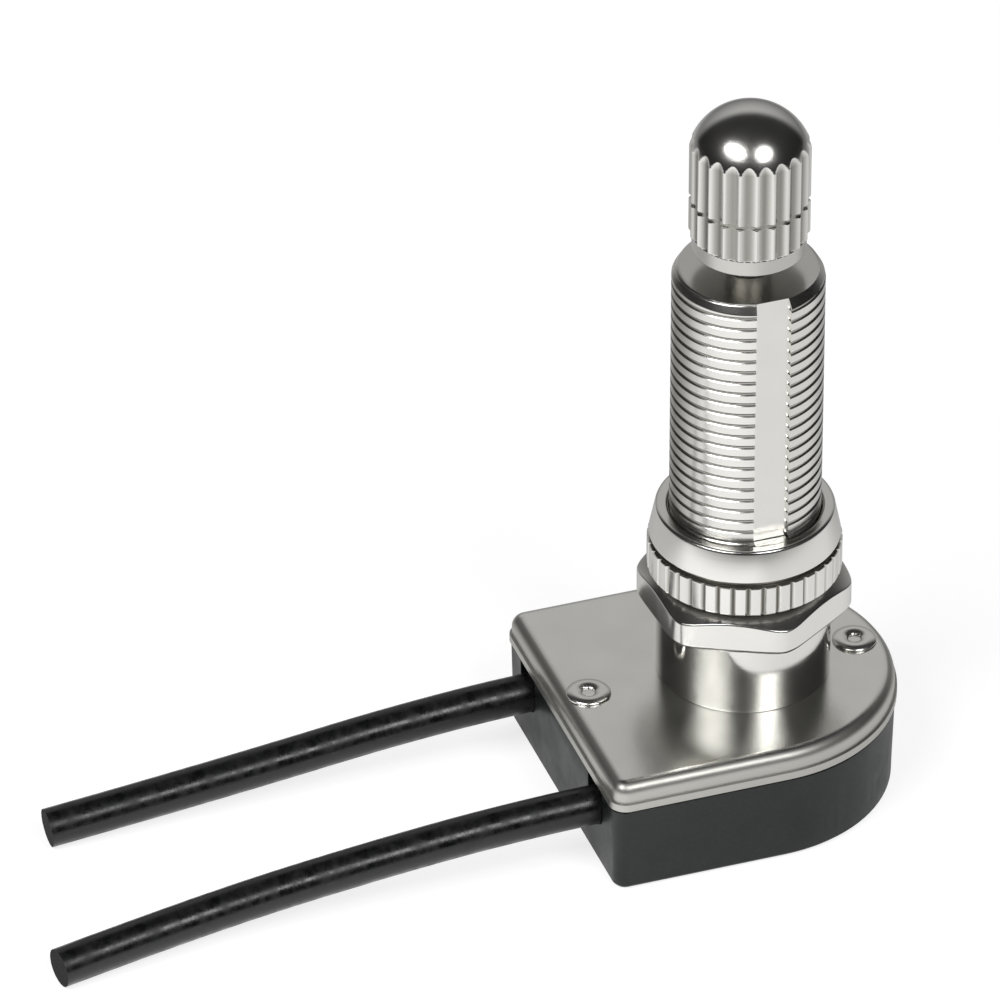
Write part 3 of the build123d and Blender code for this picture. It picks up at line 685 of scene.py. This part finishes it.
# %% [markdown]
# The thread on the bushing is the hardest shape here. It could be a V swept along a helix and joined to
# a core, but that leaves two shells in each other. This tree makes one skin instead. It starts from a
# flat grid: across it runs one turn, along it run all the turns. Each point is rolled up to its angle
# and lifted by pitch for every turn, so the rows of the grid become the flat crests, the shoulders and
# the sharp roots of the thread. Heights are held between the ends of the shank, and points that meet are
# merged, which closes the seam and the ends. Then the chamfer, the relief groove and the keyway only
# lower radii. The rest of the bushing comes in as a spun mesh whose first and last rings lie on the ends
# of the thread.

# %% Tree: screw thread with keyway
ROWS_PER_TURN = 16.0
CREST_SHARE, SHOULDER_SHARE, SHOULDER_DEPTH = 0.625, 0.875, 0.27
END_CONE = 0.6
thread_inputs = {"Radius": float, "Pitch": float, "Depth": float, "Start": float, "End": float}
thread_inputs |= {"Chamfer": float, "Relief": float, "Keyway width": float, "Keyway depth": float}
thread_inputs |= {"Columns": int, "Turns": int, "Finish": bpy.types.Material}
thread, given, thread_keys = new_tree("screw thread with keyway", thread_inputs)
size = given.outputs
across = put(thread, MATH, {0: size["Columns"], 1: 1.0}, operation="ADD")
rows = put(thread, MATH, {0: size["Turns"], 1: ROWS_PER_TURN, 2: 1.0}, operation="MULTIPLY_ADD")
grid = put(
    thread, "GeometryNodeMeshGrid", {"Size X": 1.0, "Size Y": 1.0, "Vertices X": across, "Vertices Y": rows}
)
flat_point = put(thread, SEPARATE, {0: put(thread, "GeometryNodeInputPosition")})
turn = put(thread, MATH, {0: flat_point.outputs[0], 1: 0.5}, operation="ADD")
level = put(thread, MATH, {0: flat_point.outputs[1], 1: 0.5}, operation="ADD")
climb = put(thread, MATH, {0: level, 1: size["Turns"]}, operation="MULTIPLY")
turned_climb = put(thread, MATH, {0: climb, 1: turn}, operation="ADD")
from_start = put(thread, MATH, {0: turned_climb, 1: 1.0}, operation="SUBTRACT")
raw_height = put(
    thread, MATH, {0: from_start, 1: size["Pitch"], 2: size["Start"]}, operation="MULTIPLY_ADD"
)
height = put(thread, "ShaderNodeClamp", {"Value": raw_height, "Min": size["Start"], "Max": size["End"]})
fold = put(thread, MATH, {0: climb, 1: 0.5}, operation="PINGPONG")
from_crest = put(thread, MATH, {0: fold, 1: 2.0}, operation="MULTIPLY")
shoulder = put(
    thread,
    MAP_RANGE,
    {"Value": from_crest, "From Min": CREST_SHARE, "From Max": SHOULDER_SHARE, "To Max": SHOULDER_DEPTH},
)
groove = put(
    thread,
    MAP_RANGE,
    {"Value": from_crest, "From Min": SHOULDER_SHARE, "To Min": shoulder, "To Max": 1.0},
)
cut = put(thread, MATH, {0: groove, 1: size["Depth"]}, operation="MULTIPLY")
vee = put(thread, MATH, {0: size["Radius"], 1: cut}, operation="SUBTRACT")
print("thread tree begun with", len(thread.nodes), "nodes")

# %% [markdown]
# Both the thread and the keyway stop at the same limits: a cone at the top, the chamfer, and a narrow
# neck at the bottom, the relief. That limit depends only on the height, so one piece of the tree serves
# twice: once for the grid and once for the finished skin. The keyway is a slot with a flat floor. Points
# of the skin within its width are moved to the floor, and the bore and the boss are left alone.

# %% Tree: screw thread with keyway, limits and keyway
KEYWAY_REACH, ABOVE_CREST, BELOW_ROOT = 1.05, -0.02, 1.1
MEETING = 2e-6


def end_limit(height):
    """Nodes for the largest radius that chamfer and relief allow at a height."""
    crest = put(thread, MATH, {0: size["Radius"], 1: size["Chamfer"]}, operation="SUBTRACT")
    to_end = put(thread, MATH, {0: size["End"], 1: height}, operation="SUBTRACT")
    cone = put(thread, MATH, {0: to_end, 1: END_CONE, 2: crest}, operation="MULTIPLY_ADD")
    root = put(thread, MATH, {0: size["Radius"], 1: size["Depth"]}, operation="SUBTRACT")
    neck_top = put(thread, MATH, {0: size["Start"], 1: size["Relief"]}, operation="ADD")
    over_neck = put(thread, MATH, {0: height, 1: neck_top}, operation="SUBTRACT")
    opening = put(thread, MATH, {0: over_neck, 1: 0.0}, operation="MAXIMUM")
    neck = put(thread, MATH, {0: root, 1: opening}, operation="ADD")
    return put(thread, MATH, {0: cone, 1: neck}, operation="MINIMUM")


wall = put(thread, MATH, {0: vee, 1: end_limit(height)}, operation="MINIMUM")
angle = put(thread, MATH, {0: turn, 1: math.tau}, operation="MULTIPLY")
sine = put(thread, MATH, {0: angle}, operation="SINE")
cosine = put(thread, MATH, {0: angle}, operation="COSINE")
rolled_x = put(thread, MATH, {0: wall, 1: sine}, operation="MULTIPLY")
toward = put(thread, MATH, {0: wall, 1: cosine}, operation="MULTIPLY")
rolled_y = put(thread, MATH, {0: toward, 1: -1.0}, operation="MULTIPLY")
chamfer_foot = put(
    thread, MATH, {0: size["Chamfer"], 1: -1 / END_CONE, 2: size["End"]}, operation="MULTIPLY_ADD"
)
faced = put(thread, MATH, {0: height, 1: chamfer_foot}, operation="GREATER_THAN")
# Painted shade: thread roots and the faced chamfer are mixed darker in the nickel through recess, besides
# being rougher.
unpolished_and_shaded = put(thread, MATH, {0: groove, 1: faced}, operation="MAXIMUM")
on_helix = put(thread, COMBINE, {0: rolled_x, 1: rolled_y, 2: height})
rolled = put(thread, "GeometryNodeSetPosition", {"Geometry": grid, "Position": on_helix})
marked = put(
    thread,
    "GeometryNodeStoreNamedAttribute",
    {"Geometry": rolled, "Name": "recess", "Value": unpolished_and_shaded},
    data_type="FLOAT",
    domain="POINT",
)
joined = put(thread, "GeometryNodeJoinGeometry", {"Geometry": [marked, given]})

point = put(thread, SEPARATE, {0: put(thread, "GeometryNodeInputPosition")})
x, y, z = point.outputs
front = put(thread, MATH, {0: y, 1: -1.0}, operation="MULTIPLY")
azimuth = put(thread, MATH, {0: x, 1: front}, operation="ARCTAN2")
flat_radius = put(
    thread, "ShaderNodeVectorMath", {0: put(thread, COMBINE, {0: x, 1: y})}, operation="LENGTH"
)
half_width = put(thread, MATH, {0: size["Keyway width"], 1: 0.5}, operation="MULTIPLY")
sine_edge = put(thread, MATH, {0: half_width, 1: size["Radius"]}, operation="DIVIDE")
edge = put(thread, MATH, {0: sine_edge}, operation="ARCSINE")
column = put(thread, MATH, {0: math.tau, 1: size["Columns"]}, operation="DIVIDE")
last_inside = put(thread, MATH, {0: edge, 1: column}, operation="SUBTRACT")
share = put(thread, MATH, {0: azimuth, 1: last_inside}, operation="DIVIDE")
key_x = put(thread, MATH, {0: share, 1: half_width}, operation="MULTIPLY")
key_front = put(thread, MATH, {0: size["Radius"], 1: size["Keyway depth"]}, operation="SUBTRACT")
key_radius = put(
    thread,
    "ShaderNodeVectorMath",
    {0: put(thread, COMBINE, {0: key_x, 1: key_front})},
    operation="LENGTH",
)
held = put(thread, MATH, {0: key_radius.outputs["Value"], 1: end_limit(z)}, operation="MINIMUM")
shrink = put(thread, MATH, {0: held, 1: key_radius.outputs["Value"]}, operation="DIVIDE")
new_x = put(thread, MATH, {0: key_x, 1: shrink}, operation="MULTIPLY")
new_front = put(thread, MATH, {0: key_front, 1: shrink}, operation="MULTIPLY")
new_y = put(thread, MATH, {0: new_front, 1: -1.0}, operation="MULTIPLY")
off_middle = put(thread, MATH, {0: share}, operation="ABSOLUTE")
in_width = put(thread, "FunctionNodeCompare", {0: off_middle, 1: KEYWAY_REACH}, operation="LESS_THAN")
outside = put(thread, MATH, {0: size["Radius"], 1: flat_radius.outputs["Value"]}, operation="SUBTRACT")
on_skin = put(thread, MATH, {0: outside, 1: size["Depth"]}, operation="DIVIDE")
not_boss = put(thread, "FunctionNodeCompare", {0: on_skin, 1: ABOVE_CREST}, operation="GREATER_THAN")
not_bore = put(thread, "FunctionNodeCompare", {0: on_skin, 1: BELOW_ROOT}, operation="LESS_THAN")
high = put(thread, "FunctionNodeCompare", {0: z, 1: size["Start"]}, operation="GREATER_EQUAL")
skin = put(thread, "FunctionNodeBooleanMath", {0: not_boss, 1: not_bore}, operation="AND")
side = put(thread, "FunctionNodeBooleanMath", {0: in_width, 1: high}, operation="AND")
in_keyway = put(thread, "FunctionNodeBooleanMath", {0: skin, 1: side}, operation="AND")
milled = put(
    thread,
    "GeometryNodeStoreNamedAttribute",
    {"Geometry": joined, "Selection": in_keyway, "Name": "recess", "Value": 0.0},
    data_type="FLOAT",
    domain="POINT",
)
keyed = put(
    thread,
    "GeometryNodeSetPosition",
    {
        "Geometry": milled,
        "Selection": in_keyway,
        "Position": put(thread, COMBINE, {0: new_x, 1: new_y, 2: z}),
    },
)
merged = put(thread, "GeometryNodeMergeByDistance", {"Geometry": keyed, "Distance": MEETING})
end_tree(thread, merged, given.outputs["Finish"])
print("thread tree with", len(thread.nodes), "nodes")

# %% [markdown]
# The bushing carries the switch: a polished boss below, the threaded shank above. Its thread is the lamp
# maker's 32 turns to the inch on 9.525 mm. The chamfer and the relief are as deep as the thread, so that
# both ends of the thread finish in plain rings, to which the spun part of the bushing is joined.

# %% Bushing
THREAD_RADIUS, PITCH, THREAD_DEPTH = 4.7625, 25.4 / 32, 0.36
BOSS_TOP, SHANK_TOP = 13.0, 38.0
BOSS_RADIUS, BOSS_CHAMFER = 5.5, 0.3
COVER_TOP, COVER_UNDERSIDE = 8.05, 7.55
SPIGOT_RADIUS, STAKE_RADIUS, STAKE_BOTTOM = 4.2, 4.6, 7.1
BORE_RADIUS, NECK_BORE, WEB_BOTTOM = 2.415, 1.465, 35.5
THREAD_COLUMNS, END_FLAT = 156, 0.2
RELIEF, KEYWAY_WIDTH, KEYWAY_DEPTH = 0.8, 2.3, 0.5
BOSS_BUFFED, END_DULL_SHADE = -0.8, 0.25
THREAD_CREASE = 40
end_radius = THREAD_RADIUS - THREAD_DEPTH
bushing_outline = [
    (end_radius, BOSS_TOP),
    (BOSS_RADIUS - BOSS_CHAMFER, BOSS_TOP),
    (BOSS_RADIUS, BOSS_TOP - BOSS_CHAMFER),
    (BOSS_RADIUS, COVER_TOP),
    (SPIGOT_RADIUS, COVER_TOP),
    (SPIGOT_RADIUS, COVER_UNDERSIDE),
    (STAKE_RADIUS, COVER_UNDERSIDE),
    (STAKE_RADIUS, STAKE_BOTTOM),
    (BORE_RADIUS, STAKE_BOTTOM),
    (BORE_RADIUS, WEB_BOTTOM),
    (NECK_BORE, WEB_BOTTOM),
    (NECK_BORE, SHANK_TOP),
    (end_radius - END_FLAT, SHANK_TOP),
    (end_radius, SHANK_TOP),
]
blank = eased(bushing_outline, EASE, False)
bushing = spin("bushing_turned", blank, THREAD_COLUMNS, False, -math.pi / 2)


def bushing_dull_and_shade(r, z):
    """The boss is buffed brighter than the rest, and the faced end is left a little dull and painted a
    little darker as shade.
    """
    if z < BOSS_TOP:
        return BOSS_BUFFED
    return END_DULL_SHADE if z > SHANK_TOP - TINY else 0.0


mark(bushing, bushing_dull_and_shade)
grow(
    bushing,
    thread,
    thread_keys,
    {
        "Radius": THREAD_RADIUS * MM,
        "Pitch": PITCH * MM,
        "Depth": THREAD_DEPTH * MM,
        "Start": BOSS_TOP * MM,
        "End": SHANK_TOP * MM,
        "Chamfer": THREAD_DEPTH * MM,
        "Relief": RELIEF * MM,
        "Keyway width": KEYWAY_WIDTH * MM,
        "Keyway depth": KEYWAY_DEPTH * MM,
        "Columns": THREAD_COLUMNS,
        "Turns": math.ceil((SHANK_TOP - BOSS_TOP) / PITCH) + 1,
        "Finish": nickel,
    },
)
mesh = bmesh.new()
mesh.from_mesh(bushing.data)
open_edges = sum(1 for edge in mesh.edges if not edge.is_manifold)
bmesh.ops.recalc_face_normals(mesh, faces=mesh.faces)
mesh.to_mesh(bushing.data)
mesh.free()
print("open edges on the bushing:", open_edges)
smooth(bushing, THREAD_CREASE)
settle(bushing, "housing", "polished_nickel", "bushing")

# %% [markdown]
# The cover is drawn from sheet: flat on top, bent over a radius and left with a shallow skirt, which the
# trimming tool has spread to a narrow lip along its edge. Its plan is the housing's: straight at the lead
# end, half a circle at the other. Every ring of its mesh is that plan, set in by an amount, so the bend is a
# few rings on a quarter circle, and one more ring inside it keeps the top flat for the shading. It is
# narrow, because the hole of a rivet comes close. The flat faces have holes for the bushing and the
# rivets, and they are filled between the outer ring and the rings of the holes.

# %% Cover plate
HALF_WIDTH, LEAD_END, ROUND_CENTRE, CORNER = 10.375, 12.25, -0.675, 1.1
LEAST_CORNER, ROUND_STEP, CORNER_STEP = 0.2, 3, 10
SHEET, SKIRT_BOTTOM, BEND = 0.5, 6.15, 0.8
LIP_HEIGHT, LIP_SLOPE_UP, LIP_OUT, FLAT_RING = 0.55, 0.06, 0.15, 0.03
BURR_INSIDE, BURR_OUTSIDE = 0.03, 0.05
INSIDE_STEP, OUTSIDE_STEP = 15, 10
RIVETS_X, RIVET_HOLE, PLAY = (-10.3, 7.5), 0.92, 0.02
SPIGOT_COLUMNS, RIVET_HOLE_COLUMNS = 96, 32
HOLES = [(0.0, SPIGOT_RADIUS + PLAY, SPIGOT_COLUMNS)]
HOLES += [(x, RIVET_HOLE, RIVET_HOLE_COLUMNS) for x in RIVETS_X]


def housing_plan(inset):
    """The plan of the housing, set in by some millimetres, as points against the clock."""
    reach, end = HALF_WIDTH - inset, -LEAD_END + inset
    radius = max(CORNER - inset, LEAST_CORNER)
    arcs = [
        (ROUND_CENTRE, 0, reach, range(-90, 91, ROUND_STEP)),
        (end + radius, reach - radius, radius, range(90, 181, CORNER_STEP)),
        (end + radius, radius - reach, radius, range(180, 271, CORNER_STEP)),
    ]
    return [
        (cx + r * math.cos(math.radians(a)), cy + r * math.sin(math.radians(a)))
        for cx, cy, r, degrees in arcs
        for a in degrees
    ]


def plan_ring(mesh, inset, height):
    """New vertices on the plan of the housing."""
    return [mesh.verts.new((px * MM, py * MM, height * MM)) for px, py in housing_plan(inset)]


def quarter(radius, step):
    """How far in and how far down a quarter bend has come, from upright to level."""
    angles = [math.radians(a) for a in range(0, 91, step)]
    return [(radius * (1 - math.cos(a)), radius * (1 - math.sin(a))) for a in angles]


def join_rings(mesh, low, high):
    """A band of faces between two rings of as many vertices."""
    for i in range(len(low)):
        j = (i + 1) % len(low)
        mesh.faces.new((low[i], low[j], high[j], high[i]))


def fill_with_holes(mesh, rim, holes):
    """Flat faces between the rim and the holes."""
    pairs = [pair for loop in [rim] + holes for pair in zip(loop, loop[1:] + loop[:1])]
    edges = [mesh.edges.get(pair) or mesh.edges.new(pair) for pair in pairs]
    bmesh.ops.triangle_fill(mesh, use_beauty=True, use_dissolve=False, edges=edges)


mesh = bmesh.new()
inside = reversed(quarter(BEND + LIP_OUT - SHEET, INSIDE_STEP))
skirt_section = [(SHEET + inward, COVER_UNDERSIDE - down) for inward, down in inside]
skirt_section += [(SHEET, SKIRT_BOTTOM + BURR_INSIDE), (SHEET - BURR_INSIDE, SKIRT_BOTTOM)]
skirt_section += [(BURR_OUTSIDE, SKIRT_BOTTOM), (0.0, SKIRT_BOTTOM + BURR_OUTSIDE)]
lip_top = SKIRT_BOTTOM + LIP_HEIGHT
skirt_section += [(0.0, lip_top), (LIP_OUT, lip_top + LIP_SLOPE_UP)]
skirt_section += [(LIP_OUT + inward, COVER_TOP - down) for inward, down in quarter(BEND, OUTSIDE_STEP)]
skirt_section.append((LIP_OUT + BEND + FLAT_RING, COVER_TOP))
rings = [plan_ring(mesh, inset, height) for inset, height in skirt_section]
for low, high in zip(rings, rings[1:]):
    join_rings(mesh, low, high)
low_holes, high_holes = [
    [circle(mesh, radius, height, columns, centre=x) for x, radius, columns in HOLES]
    for height in (COVER_UNDERSIDE, COVER_TOP)
]
for low, high in zip(low_holes, high_holes):
    join_rings(mesh, low, high)
fill_with_holes(mesh, rings[0], low_holes)
fill_with_holes(mesh, rings[-1], high_holes)
print("open edges on the cover:", sum(1 for edge in mesh.edges if not edge.is_manifold))
cover = new_piece("cover_drawn", mesh)


def cover_dull_and_shade(r, z):
    """All but the flat top was rubbed dull by the die, and it is painted darker as shade."""
    return z < COVER_TOP - EASE


mark(cover, cover_dull_and_shade)
smooth(cover)
settle(cover, "housing", "satin_nickel", "cover_plate")

# %% [markdown]
# Two rivets hold the cover to the base. They have a flat foot below and a hollow end on top, which the
# press has rolled over, so a shallow dimple is left in the middle of the head. One is spun at the origin,
# and a tree sets a copy of it on each of its two places.

# %% Tree: rivets
rivet_tree, given, rivet_keys = new_tree(
    "two rivets", {"Lead end": float, "Round end": float, "Finish": bpy.types.Material}
)
size = given.outputs
gap = put(rivet_tree, MATH, {0: size["Round end"], 1: size["Lead end"]}, operation="SUBTRACT")
first = put(rivet_tree, COMBINE, {0: size["Lead end"]})
step = put(rivet_tree, COMBINE, {0: gap})
places = put(rivet_tree, "GeometryNodeMeshLine", {"Count": 2, "Start Location": first, "Offset": step})
copies = put(rivet_tree, "GeometryNodeInstanceOnPoints", {"Points": places, "Instance": given})
end_tree(rivet_tree, copies, size["Finish"])
print("rivet tree with", len(rivet_tree.nodes), "nodes")

# %% Rivets
DIMPLE_RADIUS, RIVET_SHANK, RIVET_HEAD = 0.4, 0.9, 1.425
FOOT_RADIUS, FOOT_BOTTOM, FOOT_TOP = 1.25, 0.45, 0.75
DIMPLE_FLOOR, ROLL_HEIGHT, ROLL_STEP = 0.05, 0.28, 15
RIVET_EASE, RIVET_COLUMNS = 0.04, 48
roll_centre, roll_half = (RIVET_HEAD + DIMPLE_RADIUS) / 2, (RIVET_HEAD - DIMPLE_RADIUS) / 2
roll_foot, roll_rise = COVER_TOP + DIMPLE_FLOOR, ROLL_HEIGHT - DIMPLE_FLOOR
roll = [
    (roll_centre + roll_half * math.cos(math.radians(a)), roll_foot + roll_rise * math.sin(math.radians(a)))
    for a in range(0, 181, ROLL_STEP)
]
rivet = [
    (0, FOOT_BOTTOM),
    (FOOT_RADIUS, FOOT_BOTTOM),
    (FOOT_RADIUS, FOOT_TOP),
    (RIVET_SHANK, FOOT_TOP),
    (RIVET_SHANK, COVER_TOP),
    (RIVET_HEAD, COVER_TOP),
    *roll,
    (0, roll_foot),
]
rivets = spin("rivets_rolled", eased(rivet, RIVET_EASE, False), RIVET_COLUMNS, False)
lead_end, round_end = (x * MM for x in RIVETS_X)
grow(rivets, rivet_tree, rivet_keys, {"Lead end": lead_end, "Round end": round_end, "Finish": satin})
smooth(rivets)
settle(rivets, "housing", "rivet_nickel", "rivet_lead_end", "rivet_round_end")

# %% [markdown]
# The base and the shaft already have their true shapes in CAD. A CAD mesh is loose triangles, so curved
# walls show their facets. A copy is merged, its flat regions are joined, and its edges are broken with a
# small bevel, as a mould leaves them. The copy is then shaded smooth.

# %% Base and shaft
SAME_POINT, SAME_PLANE = 1e-7, math.radians(0.5)
MOULD_EDGE, SHAFT_EDGE = 0.08, 0.05


def smooth_copy(node, name, edge_mm):
    """A copy of a CAD part with whole faces and broken edges."""
    mesh = bmesh.new()
    mesh.from_mesh(nodes[node].data)
    bmesh.ops.remove_doubles(mesh, verts=mesh.verts, dist=SAME_POINT)
    bmesh.ops.dissolve_limit(mesh, angle_limit=SAME_PLANE, verts=mesh.verts, edges=mesh.edges)
    piece = new_piece(name, mesh)
    break_edges(piece, edge_mm)
    return piece


base = smooth_copy("base", "base_moulded", MOULD_EDGE)
settle(base, "housing", "black_phenolic", "base")
shaft = smooth_copy("shaft", "shaft_turned", SHAFT_EDGE)
settle(shaft, "spindle", "shaft_steel", "shaft")

# %% [markdown]
# The leads leave the housing side by side, sink slowly and lie down on the table, where they end in plain
# cuts. Each is one smooth curve: the points of its route are the control points of a NURBS spline. The
# order is set after the points, because a spline that is still empty can't take it.

# %% Leads
LEAD_RADIUS, STEPS_ROUND, STEPS_ALONG = 1.25, 8, 12
lead_routes = {
    "lead_front": [
        (-10.1, -6.35, 4.27),
        (-17.5, -6.35, 4.27),
        (-30.5, -6.36, 3.00),
        (-39.5, -6.50, 1.76),
        (-47.7, -7.85, 1.28),
    ],
    "lead_rear": [
        (-10.1, 6.35, 4.27),
        (-17.0, 6.35, 4.27),
        (-34.0, 6.36, 2.20),
        (-44.0, 6.35, 1.28),
    ],
}
for name, route in lead_routes.items():
    wire = bpy.data.curves.new(name + "_pvc", "CURVE")
    wire.dimensions = "3D"
    wire.bevel_depth, wire.use_fill_caps = LEAD_RADIUS * MM, True
    wire.bevel_resolution, wire.resolution_u = STEPS_ROUND, STEPS_ALONG
    spline = wire.splines.new("NURBS")
    spline.points.add(len(route) - 1)
    for control, (px, py, pz) in zip(spline.points, route):
        control.co = (px * MM, py * MM, pz * MM, 1.0)
    spline.order_u = 3
    spline.use_endpoint_u = True
    lead = bpy.data.objects.new(name + "_pvc", wire)
    scene.collection.objects.link(lead)
    wire.materials.append(pvc)
    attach(lead, "housing")
    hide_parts(name)
    print(lead.name, "with", len(route), "control points")

# %% [markdown]
# The studio is a white table in a dark room with two soft boxes, one to the left of the camera and one to
# its right. Polished metal shows the room more than itself: upright walls mirror the table, the dome
# mirrors both boxes as two white spots, and the cover mirrors the grey wall opposite the camera. What
# metal sees of the paper is its glow, painted as a pool of light in front of the switch and to its left,
# with painted shade behind the switch and close by it, so it falls off to the right, to the back, close to
# the switch and far away from it.

# %% Table
TABLE_SIZE = 6.0
GLOW = 0.78
LIT_RADIUS, DIM_RADIUS, DIM_SHARE = 0.10, 0.30, 0.45
NEAR_RADIUS, CLEAR_RADIUS, NEAR_SHARE = 0.012, 0.024, 0.6
LEFT_EDGE, RIGHT_EDGE, RIGHT_SHARE = -0.03, 0.02, 0.66
FRONT_EDGE, BACK_EDGE, BACK_SHARE = -0.012, 0.033, 0.35
half = TABLE_SIZE / 2
corners = [(-half, -half, 0), (half, -half, 0), (half, half, 0), (-half, half, 0)]
table_mesh = bpy.data.meshes.new("table")
table_mesh.from_pydata(corners, [], [(0, 1, 2, 3)])
table = bpy.data.objects.new("table", table_mesh)
scene.collection.objects.link(table)
paper, tree, shader = new_finish("white_paper", "#BABABA", metallic=0.0, roughness=0.9)
shader.inputs["Specular IOR Level"].default_value = 0.0
rays = put(tree, "ShaderNodeLightPath").outputs
place = put(tree, PLACE).outputs["Object"]
across, back = put(tree, SEPARATE, {0: place}).outputs[:2]
away = put(tree, "ShaderNodeVectorMath", {0: place}, operation="LENGTH").outputs["Value"]
# Painted light: mirrored rays see the paper glow, shaped into a pool of light with painted shade near the
# switch.
lit = rays["Is Glossy Ray"]
for distance, near, far, near_share, far_share in (
    (across, LEFT_EDGE, RIGHT_EDGE, 1.0, RIGHT_SHARE),
    (back, FRONT_EDGE, BACK_EDGE, 1.0, BACK_SHARE),
    (away, NEAR_RADIUS, CLEAR_RADIUS, NEAR_SHARE, 1.0),
    (away, LIT_RADIUS, DIM_RADIUS, 1.0, DIM_SHARE),
):
    span = {"From Min": near, "From Max": far, "To Min": near_share, "To Max": far_share}
    share = put(tree, MAP_RANGE, {"Value": distance, **span}, interpolation_type="SMOOTHSTEP")
    lit = put(tree, MATH, {0: lit, 1: share}, operation="MULTIPLY")
seen = put(tree, MATH, {0: rays["Is Camera Ray"], 1: rays["Is Transmission Ray"]}, operation="MAXIMUM")
plain = put(tree, MATH, {0: seen, 1: GLOW}, operation="MULTIPLY")
glow = put(tree, MATH, {0: plain, 1: lit}, operation="MAXIMUM")
fill(tree, shader, {"Emission Color": linear("#FFFFFF"), "Emission Strength": glow})
table_mesh.materials.append(paper)
print("table ready")

# %% [markdown]
# The room is a world shader. It is dark but for a grey wall on the far side of the switch, a round patch
# of light about 50 degrees to each side and as much upwards. A direction belongs to it when it points
# away from the camera, along the table, by more than a certain share. Higher up the wall is lighter.

# %% Room
WALL_LEVEL, ROOM_LEVEL = 0.5, 0.03
WALL_EDGE, WALL_INSIDE = 0.58, 0.78
LOW, HIGH, LOW_SHADE, HIGH_SHADE = 0.1, 0.6, 0.55, 1.15
room = bpy.data.worlds.new("room")
room.use_nodes = True
scene.world = room
tree = room.node_tree
direction = put(tree, PLACE).outputs["Generated"]
ahead = Vector((-camera_back.x, -camera_back.y, 0)).normalized()
forward = put(tree, "ShaderNodeVectorMath", {0: direction, 1: ahead}, operation="DOT_PRODUCT")
span = {"From Min": WALL_EDGE, "From Max": WALL_INSIDE, "To Min": ROOM_LEVEL, "To Max": WALL_LEVEL}
level = put(tree, MAP_RANGE, {"Value": forward.outputs["Value"], **span}, interpolation_type="SMOOTHSTEP")
upward = put(tree, SEPARATE, {0: direction}).outputs[2]
span = {"From Min": LOW, "From Max": HIGH, "To Min": LOW_SHADE, "To Max": HIGH_SHADE}
shade = put(tree, MAP_RANGE, {"Value": upward, **span})
strength = put(tree, MATH, {0: level, 1: shade}, operation="MULTIPLY")
fill(tree, tree.nodes["Background"], {"Color": linear("#FFFFFF"), "Strength": strength})
print("room ready")

# %% [markdown]
# The lamps are two soft boxes with round fronts. Their places were found from the two white spots on the
# dome: a mirror's normal lies half way between the eye and what it shows.

# %% Soft boxes
BOX_DISTANCE, AIM_HEIGHT = 0.5, 0.02


def soft_box(name, azimuth, elevation, width, height, watts):
    """An area lamp that faces the switch from an azimuth, counted from the front, and an elevation."""
    lamp = bpy.data.lights.new(name, "AREA")
    lamp.shape, lamp.size, lamp.size_y, lamp.energy = "ELLIPSE", width, height, watts
    box = bpy.data.objects.new(name, lamp)
    a, e = math.radians(azimuth), math.radians(elevation)
    out = Vector((math.sin(a) * math.cos(e), -math.cos(a) * math.cos(e), math.sin(e)))
    box.rotation_mode = "QUATERNION"
    box.location = Vector((0, 0, AIM_HEIGHT)) + out * BOX_DISTANCE
    box.rotation_quaternion = out.to_track_quat("Z", "Y")
    scene.collection.objects.link(box)


soft_box("soft_box_left", azimuth=-61, elevation=48, width=0.33, height=0.16, watts=1.1)
soft_box("soft_box_right", azimuth=14, elevation=46, width=0.22, height=0.17, watts=0.8)
scene.view_settings.view_transform = "Standard"
print("studio ready")
